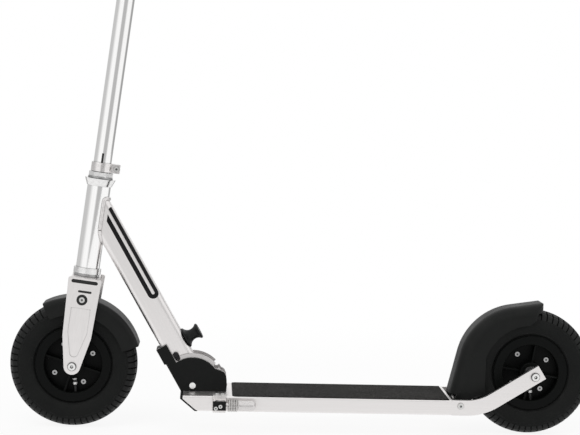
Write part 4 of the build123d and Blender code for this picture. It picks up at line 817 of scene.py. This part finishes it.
class ScooterStripes(bpy.types.Operator):
    """Lays a plain folded stripe on each side of the down tube."""

    bl_idname = "scooter.stripes"
    bl_label = "Stripes"

    def execute(self, context):
        settings = context.scene.scooter_stripes
        film = coated(
            "stripe film", settings.colour, rough=(0.3, 0.44), scale=900.0, strength=0.1, depth=0.00003,
            gloss=0.16,
        )
        for hand, name in ((1, "left"), (-1, "right")):
            points, faces = stripe_mesh(hand, settings)
            make_piece("down_tube_stripe_" + name, points, faces, film, "front_frame")
        return {"FINISHED"}


def head_weld_path():
    """Closed line where the down tube's rounded outline meets the head tube."""
    path = []
    for quarter, (ahead_side, across_side) in enumerate(((1, 1), (-1, 1), (-1, -1), (1, -1))):
        corner_ahead = TUBE_FRONT - TUBE_CORNER if ahead_side > 0 else TUBE_BACK + TUBE_CORNER
        corner_across = across_side * (TUBE_HALF - TUBE_CORNER)
        for step in range(CORNER_STEPS + 1):
            angle = math.pi / 2 * (quarter + step / CORNER_STEPS)
            ahead = corner_ahead + TUBE_CORNER * math.cos(angle)
            across = corner_across + TUBE_CORNER * math.sin(angle)
            path.append(tube_point(ahead, across, head_reach(ahead, across)))
    return path


def bar_weld_path():
    """Closed line where the upper tube meets the crossbar."""
    bar_level = (middle("crossbar") / MM - STEER_FOOT).dot(STEER_ALONG)
    path = []
    for step in range(BAR_WELD_STEPS):
        angle = 2 * math.pi * step / BAR_WELD_STEPS
        ahead = UPPER_TUBE_RADIUS * math.cos(angle)
        level = bar_level - math.sqrt(max(0.0, CROSSBAR_RADIUS**2 - ahead**2))
        across = Vector((0.0, UPPER_TUBE_RADIUS * math.sin(angle), 0.0))
        path.append(STEER_FOOT + STEER_ALONG * level + STEER_AHEAD * ahead + across)
    return path


class ScooterWelds(bpy.types.Operator):
    """Runs rippled weld beads around the head tube joint and under the crossbar."""

    bl_idname = "scooter.welds"
    bl_label = "Welds"

    def execute(self, context):
        settings = context.scene.scooter_finishes
        metal = plated("weld bead", settings.satin_metal, rough=(0.3, 0.46), scale=260.0)
        points, faces = bead(even_path(head_weld_path(), count=116), radius=3.1, ripple=0.1)
        make_piece("head_tube_weld", points, faces, metal, "front_frame", crease=60.0)
        points, faces = bead(even_path(bar_weld_path(), count=110), radius=1.7, ripple=0.09)
        make_piece("crossbar_weld", points, faces, metal, "handlebar", crease=60.0)
        return {"FINISHED"}


# Finishes of the pieces that keep their own shape; places on them are in metres


RECESS_ACROSS, RECESS_AHEAD, RECESS_UP = (0.0363, 0.0392), (-0.0232, 0.021), (0.095, 0.1371)
STEERER_FOOT = (0.144, 0.1445)
LOCK_PLATES = (0.01535, 0.01745)
SOCKET_WALL, SOCKET_DEPTH = (0.0015, 0.0034), (0.0003, 0.004)
AXLE_HEAD_EDGE = (0.0058, 0.0073)
VALVE_COLLAR, VALVE_CAP = (0.0215, 0.0255), (0.03, 0.0335)
STAND_CHEEK_FROM = 0.0771


class ScooterTubes(bpy.types.Operator):
    """Polishes the stem, head tube, down tube and crossbar."""

    bl_idname = "scooter.tubes"
    bl_label = "Tubes"

    def execute(self, context):
        settings = context.scene.scooter_finishes
        polish = {"rough": (0.05, 0.12), "across": 700.0, "along": 7.0}
        stem = drawn_metal("polished stem", settings.tube_metal, turn=TURN_STEER, **polish)
        bar = drawn_metal("polished crossbar", settings.tube_metal, turn=TURN_ACROSS, **polish)
        down = drawn_metal(
            "satin down tube", settings.satin_metal, (0.3, 0.42), TURN_TUBE, across=800.0, along=8.0
        )
        dress(stem, "lower_tube", "upper_tube", "head_tube")
        dress(bar, "crossbar")
        dress(down, "down_tube")
        return {"FINISHED"}


class ScooterDeck(bpy.types.Operator):
    """Finishes the deck, its arms, nose cap and grip tape."""

    bl_idname = "scooter.deck"
    bl_label = "Deck"

    def execute(self, context):
        settings = context.scene.scooter_finishes
        deck = drawn_metal(
            "satin deck", settings.satin_metal, (0.34, 0.46), TURN_LENGTH, across=1100.0, along=6.0
        )
        cap = coated(
            "nose cap coat", settings.black_coat, rough=(0.4, 0.55), scale=1300.0, strength=0.35,
            depth=0.00008, gloss=0.18,
        )
        dress(deck, "deck_extrusion", "rear_arm_left", "rear_arm_right")
        dress(cap, "deck_nose_cap")
        dress(tape_finish(settings.tape), "grip_tape")
        return {"FINISHED"}


def fork_finish(settings):
    """Satin metal with painted shade: black floors in the slots near the legs' tops and a black steerer
    inside the head tube, where shade falls.
    """
    metal = drawn_metal(
        "satin fork", settings.satin_metal, (0.34, 0.48), TURN_STEER, across=420.0, along=60.0, tint=0.95
    )
    tree = metal.node_tree
    place = object_place(tree, STEER_FOOT)
    ahead = vector_node(tree, "DOT_PRODUCT", place, STEER_AHEAD)
    up = vector_node(tree, "DOT_PRODUCT", place, STEER_ALONG)
    across = math_node(tree, "ABSOLUTE", axes(tree, place)["Y"])
    # Painted shade: the slot floors and the steerer seen through the lower tube's slot are painted black.
    spans = ((across, RECESS_ACROSS), (ahead, RECESS_AHEAD), (up, RECESS_UP))
    recess_shade = product(tree, *(within(tree, value, *span) for value, span in spans))
    steerer_shade = remap(tree, up, *STEERER_FOOT)
    return overlay(metal, math_node(tree, "MAXIMUM", recess_shade, steerer_shade), settings.black_coat, metallic=0.0)


class ScooterFork(bpy.types.Operator):
    """Finishes the fork, the headset and the stem clamps."""

    bl_idname = "scooter.fork"
    bl_label = "Fork and headset"

    def execute(self, context):
        settings = context.scene.scooter_finishes
        polish = {"scale": 300.0, "depth": 0.00001}
        cups = plated("polished cups", (0.9, 0.895, 0.89), rough=(0.14, 0.26), **polish)
        clamp = plated("clamp metal", settings.satin_metal, rough=(0.12, 0.24), **polish)
        locknut = plated("turned locknut", settings.tube_metal, rough=(0.36, 0.5))
        bearings = plated("bearing steel", grey(0.5), rough=(0.2, 0.34))
        dress(fork_finish(settings), "fork_leg_left", "fork_leg_right", "fork_crown")
        dress(cups, "headset_cups")
        dress(locknut, "headset_locknut")
        dress(clamp, "stem_collar", "height_clamp", "clamp_lever")
        dress(bearings, "headset_bearings")
        return {"FINISHED"}


class ScooterFold(bpy.types.Operator):
    """Finishes the fold bracket, the lock, its knob and the springs."""

    bl_idname = "scooter.fold"
    bl_label = "Fold lock"

    def execute(self, context):
        settings = context.scene.scooter_finishes
        coat = coated(
            "bracket coat and lock plates", settings.black_coat, rough=(0.42, 0.6), scale=1000.0,
            strength=0.5, depth=0.00012, gloss=0.14, wear=(0.12, 0.0008, 0.6), dust_and_top_light=0.03,
        )
        knob = coated(
            "knob plastic", settings.black_plastic, rough=(0.36, 0.52), scale=1900.0, strength=0.35,
            depth=0.00008, gloss=0.22,
        )
        tree = coat.node_tree
        across = math_node(tree, "ABSOLUTE", axes(tree, object_place(tree))["Y"])
        plates = within(tree, across, *LOCK_PLATES)
        dress(overlay(coat, plates, rgba(settings.satin_metal, 0.72), metallic=1.0), "fold_bracket")
        dress(knob, "release_knob")
        dress(plated("blackened lock steel", (0.03, 0.03, 0.032), (0.3, 0.45)), "lock_pin", "lock_carriage")
        dress(plated("bush brass", (0.62, 0.45, 0.2), (0.28, 0.42)), "pivot_bushes")
        spring = plated("spring steel", (0.66, 0.645, 0.63), (0.2, 0.36))
        dress(spring, "lock_spring", "fender_spring", "kickstand_spring")
        return {"FINISHED"}


class ScooterFenders(bpy.types.Operator):
    """Finishes the fenders and the brake shoe."""

    bl_idname = "scooter.fenders"
    bl_label = "Fenders"

    def execute(self, context):
        settings = context.scene.scooter_finishes
        # The fender dust also paints light on the fenders' tops.
        plastic = coated(
            "fender plastic", settings.black_plastic, rough=(0.38, 0.56), scale=1500.0, strength=0.45,
            depth=0.00012, gloss=0.18, wear=(0.04, 0.0009, 0.6), dust_and_top_light=0.045,
        )
        shoe = coated(
            "brake shoe", (0.03, 0.026, 0.024), rough=(0.6, 0.85), scale=700.0, strength=0.6, depth=0.0002,
            gloss=0.3,
        )
        dress(plastic, "front_fender", "rear_fender")
        dress(shoe, "brake_shoe")
        return {"FINISHED"}


def from_axle(tree, end):
    """Distance from a wheel's axle line, and distance along it from the middle of the axle."""
    place = axes(tree, object_place(tree, middle(end + "_axle") / MM))
    flat = put(tree, "ShaderNodeCombineXYZ", {"X": place["X"], "Z": place["Z"]}).outputs[0]
    return vector_node(tree, "LENGTH", flat), place["Y"]


def axle_finish(end):
    """Bright axle bolt with painted shade on the walls of its socket and a dark ring of painted shade around
    its head.
    """
    steel = plated(end + " axle plating", BRIGHT_STEEL, rough=(0.12, 0.24))
    tree = steel.node_tree
    away, along = from_axle(tree, end)
    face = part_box(end + "_axle")[1][1] - middle(end + "_axle").y
    # Painted shade: the socket's walls and the ring at the head's edge are painted nearly black.
    deep = within(tree, along, face - SOCKET_DEPTH[1], face - SOCKET_DEPTH[0])
    socket = product(tree, deep, within(tree, away, *SOCKET_WALL))
    head = math_node(tree, "GREATER_THAN", along, face - SOCKET_DEPTH[1])
    edge = product(tree, head, within(tree, away, *AXLE_HEAD_EDGE))
    return overlay(steel, math_node(tree, "MAXIMUM", socket, edge), grey(0.03), metallic=0.0)


def valve_finish(end):
    """Black rubber valve with a plated collar and cap."""
    rubber = coated(
        end + " valve rubber", grey(0.008), rough=(0.45, 0.6), scale=1500.0, strength=0.3,
        depth=0.00008,
    )
    tree = rubber.node_tree
    away = from_axle(tree, end)[0]
    metal = math_node(tree, "ADD", within(tree, away, *VALVE_COLLAR), within(tree, away, *VALVE_CAP))
    return overlay(rubber, metal, (0.8, 0.8, 0.79), metallic=1.0)


class ScooterWheels(bpy.types.Operator):
    """Finishes the rims, tubes, valves, bearings and spacers of both wheels."""

    bl_idname = "scooter.wheels"
    bl_label = "Wheels"

    def execute(self, context):
        settings = context.scene.scooter_finishes
        # The rims get painted shade in their close corners.
        rim = coated(
            "rim plastic", settings.rim_plastic, rough=(0.34, 0.52), scale=1300.0, strength=0.35,
            depth=0.0001, gloss=0.09, wear=(0.05, 0.0006, 0.5), dust_and_top_light=0.006, corner_shade=0.5,
        )
        tube = coated(
            "inner tube rubber", grey(0.012), rough=(0.5, 0.7), scale=900.0, strength=0.3,
            depth=0.0001,
        )
        spacer = coated(
            "spacer coat", settings.black_coat, rough=(0.4, 0.55), scale=1200.0, strength=0.3, depth=0.00008,
            gloss=0.2,
        )
        steel = plated("wheel bearing steel", grey(0.66), rough=(0.16, 0.3))
        for end in ENDS:
            dress(rim, end + "_rim_left", end + "_rim_right")
            dress(tube, end + "_inner_tube")
            dress(valve_finish(end), end + "_valve")
            dress(steel, end + "_wheel_bearings")
            dress(spacer, end + "_axle_spacers")
        return {"FINISHED"}


class ScooterFasteners(bpy.types.Operator):
    """Plates the bolts, nuts, axles and small steel pieces."""

    bl_idname = "scooter.fasteners"
    bl_label = "Fasteners"

    def execute(self, context):
        settings = context.scene.scooter_finishes
        zinc = plated("zinc plating", settings.bolt_metal, rough=(0.2, 0.36))
        bright = plated("bright plating", BRIGHT_STEEL, rough=(0.12, 0.24))
        # The rim bolts' plating is darkened as painted shade, for the dim reflections inside the wheel.
        rim_bolt_plating_shaded = plated("rim bolt plating with painted shade", grey(0.45), rough=(0.22, 0.36))
        for end in ENDS:
            dress(rim_bolt_plating_shaded, end + "_rim_bolts")
            dress(axle_finish(end), end + "_axle")
        dress(zinc, "bracket_bolts", "front_fender_bolts", "fender_pivot_bolt")
        dress(zinc, "pinch_bolt", "kickstand_bolts")
        dress(bright, "fold_pivot_bolt", "clamp_skewer", "height_button")
        return {"FINISHED"}


class ScooterKickstand(bpy.types.Operator):
    """Finishes the kickstand."""

    bl_idname = "scooter.kickstand"
    bl_label = "Kickstand"

    def execute(self, context):
        settings = context.scene.scooter_finishes
        leg = plated("kickstand plating", rgba(settings.satin_metal, 0.86), rough=(0.24, 0.4))
        mount = coated(
            "kickstand mount coat", settings.black_coat, rough=(0.4, 0.55), scale=1200.0, strength=0.35,
            depth=0.0001, gloss=0.18,
        )
        tree = mount.node_tree
        plate = math_node(tree, "LESS_THAN", axes(tree, object_place(tree))["Y"], STAND_CHEEK_FROM)
        dress(leg, "kickstand_leg")
        dress(overlay(mount, plate, settings.satin_metal, metallic=1.0), "kickstand_mount")
        return {"FINISHED"}


# Stage: the horizon is the grey that polished metal mirrors, as (share of a turn, grey)


HORIZON = (
    ((0.0, 1.0), (0.0556, 1.0), (0.083, 0.38), (0.194, 0.36), (0.243, 1.0), (0.373, 1.0))
    + ((0.413, 0.5), (0.509, 0.5), (0.541, 1.0), (0.642, 1.0), (0.679, 0.83), (0.722, 0.62))
    + ((0.764, 0.58), (0.917, 0.58), (0.944, 1.0), (1.0, 1.0))
)
BANDS_FADE = (0.24, 0.44)
FLOOR_HALF, FLOOR_LEVEL = 2.2, -0.0006
FLOOR_FADE, FLOOR_WHITE = (0.55, 1.15), (0.89, 1.0)
FAR_FLOOR, FAR_FROM = grey(0.42), (-0.7, -1.1)
LAMP_SIZE, LAMP_TARGET = 2.4, Vector((0.0, 0.0, 0.3))
CAMERA_PLACE = (0.15233, 2.38154, 0.52128)
CAMERA_YAW, CAMERA_PITCH, CAMERA_ROLL = 0.0526, 0.0769, 0.0279


def stage_world(ambient):
    """White to the camera, grey bands near the ground for reflections, plain light for everything else."""
    world = bpy.data.worlds.new("white studio")
    bpy.context.scene.world = world
    world.use_nodes = True
    tree = world.node_tree
    tree.nodes.clear()
    way = axes(tree, tree.nodes.new("ShaderNodeTexCoord").outputs["Generated"])
    turn = math_node(tree, "ARCTAN2", way["X"], way["Y"])
    bands = put(tree, "ShaderNodeValToRGB", {0: remap(tree, turn, -math.pi, math.pi)})
    stops = bands.color_ramp.elements
    stops.remove(stops[1])
    stops[0].color = grey(HORIZON[0][1])
    for position, level in HORIZON[1:]:
        stops.new(position).color = grey(level)
    ray = tree.nodes.new("ShaderNodeLightPath").outputs
    seen = math_node(tree, "MAXIMUM", ray["Is Camera Ray"], ray["Is Transmission Ray"])
    plain = mix_colour(tree, seen, grey(ambient), WHITE)
    lifted = remap(tree, way["Z"], *BANDS_FADE)
    mirrored = mix_colour(tree, lifted, bands.outputs[0], WHITE)
    colour = mix_colour(tree, ray["Is Glossy Ray"], plain, mirrored)
    light = put(tree, "ShaderNodeBackground", {"Color": colour, "Strength": 1.0})
    put(tree, "ShaderNodeOutputWorld", {0: light.outputs[0]})


def floor_finish(colour):
    """Pale matt floor near the object that fades to plain white around it."""
    material = bpy.data.materials.new("pale floor")
    material.use_nodes = True
    tree = material.node_tree
    tree.nodes.clear()
    place = tree.nodes.new("ShaderNodeTexCoord").outputs["Object"]
    tone = mix_colour(tree, noise(tree, place, 3.0, 4.0), rgba(colour, 0.985), rgba(colour))
    matt = put(tree, "ShaderNodeBsdfDiffuse", {"Color": tone})
    ray = tree.nodes.new("ShaderNodeLightPath").outputs
    behind = remap(tree, axes(tree, place)["Y"], *FAR_FROM)
    glow = mix_colour(tree, product(tree, behind, ray["Is Glossy Ray"]), WHITE, FAR_FLOOR)
    white = put(tree, "ShaderNodeEmission", {"Color": glow, "Strength": 1.0})
    mirrored = math_node(tree, "MAXIMUM", ray["Is Glossy Ray"], ray["Is Transmission Ray"])
    plain = remap(tree, vector_node(tree, "LENGTH", place), *FLOOR_FADE, *FLOOR_WHITE)
    share = math_node(tree, "MAXIMUM", product(tree, ray["Is Camera Ray"], plain), mirrored)
    mixed = put(tree, "ShaderNodeMixShader", {0: share, 1: matt.outputs[0], 2: white.outputs[0]})
    put(tree, "ShaderNodeOutputMaterial", {0: mixed.outputs[0]})
    return material


def stage_floor(colour):
    """Floor that takes the shadow close to the object."""
    mesh = bpy.data.meshes.new("floor")
    sides = ((-1, -1), (1, -1), (1, 1), (-1, 1))
    corners = [(x * FLOOR_HALF, y * FLOOR_HALF, FLOOR_LEVEL) for x, y in sides]
    mesh.from_pydata(corners, [], [(0, 1, 2, 3)])
    mesh.materials.append(floor_finish(colour))
    floor = bpy.data.objects.new("floor", mesh)
    bpy.context.scene.collection.objects.link(floor)


def stage_lamp(name, power, place):
    """Soft square lamp aimed at the object."""
    lamp = bpy.data.lights.new(name, "AREA")
    lamp.energy = power
    lamp.size = LAMP_SIZE
    holder = bpy.data.objects.new(name, lamp)
    holder.location = place
    holder.rotation_euler = (LAMP_TARGET - Vector(place)).to_track_quat("-Z", "Y").to_euler()
    holder.visible_glossy = False
    holder.visible_camera = False
    bpy.context.scene.collection.objects.link(holder)


def stage_camera(lens):
    """Camera at the photograph's place and angle."""
    level_x, level_y = -math.sin(CAMERA_YAW), -math.cos(CAMERA_YAW)
    flat = math.cos(CAMERA_PITCH)
    ahead = Vector((level_x * flat, level_y * flat, -math.sin(CAMERA_PITCH)))
    level = ahead.cross(Vector((0.0, 0.0, 1.0))).normalized()
    upright = level.cross(ahead)
    right = level * math.cos(CAMERA_ROLL) + upright * math.sin(CAMERA_ROLL)
    up = upright * math.cos(CAMERA_ROLL) - level * math.sin(CAMERA_ROLL)
    camera = bpy.data.cameras.new("camera")
    camera.lens = lens
    camera.sensor_fit = "HORIZONTAL"
    holder = bpy.data.objects.new("camera", camera)
    turned = Matrix((right, up, -ahead)).transposed().to_4x4()
    holder.matrix_world = Matrix.Translation(CAMERA_PLACE) @ turned
    bpy.context.scene.collection.objects.link(holder)
    bpy.context.scene.camera = holder


class ScooterStage(bpy.types.Operator):
    """Sets up the floor, the light and the camera."""

    bl_idname = "scooter.stage"
    bl_label = "Stage"

    def execute(self, context):
        settings = context.scene.scooter_stage
        context.scene.view_settings.view_transform = "Standard"
        stage_world(settings.ambient)
        stage_floor(settings.floor)
        stage_lamp("key", settings.key_power, (1.6, 1.9, 2.7))
        stage_lamp("fill", settings.fill_power, (-2.2, 1.6, 1.8))
        stage_lamp("back", settings.fill_power, (-0.3, -2.4, 2.4))
        stage_camera(settings.lens)
        return {"FINISHED"}


# Panel and registration


PIECES = (
    ScooterTubes,
    ScooterDeck,
    ScooterFork,
    ScooterFold,
    ScooterFenders,
    ScooterWheels,
    ScooterFasteners,
    ScooterKickstand,
    ScooterTyres,
    ScooterGrips,
    ScooterStripes,
    ScooterWelds,
    ScooterStage,
)

SETTINGS = {
    "scooter_tyres": ScooterTyreSettings,
    "scooter_grips": ScooterGripSettings,
    "scooter_stripes": ScooterStripeSettings,
    "scooter_finishes": ScooterFinishSettings,
    "scooter_stage": ScooterStageSettings,
}


class ScooterPanel(bpy.types.Panel):
    """Lists the scooter's pieces and settings."""

    bl_idname = "SCOOTER_PT_looks"
    bl_label = "Kick scooter"
    bl_space_type = "VIEW_3D"
    bl_region_type = "UI"
    bl_category = "Scooter"

    def draw(self, context):
        for piece in PIECES:
            self.layout.operator(piece.bl_idname)
        for name, kind in SETTINGS.items():
            box = self.layout.box()
            for field in kind.__annotations__:
                box.prop(getattr(context.scene, name), field)


def register():
    """Registers the settings, the operators and the panel."""
    for kind in (*SETTINGS.values(), *PIECES, ScooterPanel):
        bpy.utils.register_class(kind)
    for name, kind in SETTINGS.items():
        setattr(bpy.types.Scene, name, PointerProperty(type=kind))


def unregister():
    """Removes what register added."""
    for name in SETTINGS:
        delattr(bpy.types.Scene, name)
    for kind in reversed((*SETTINGS.values(), *PIECES, ScooterPanel)):
        bpy.utils.unregister_class(kind)


def main():
    register()
    for piece in PIECES:
        group, name = piece.bl_idname.split(".")
        getattr(getattr(bpy.ops, group), name)()


if __name__ == "__main__":
    main()
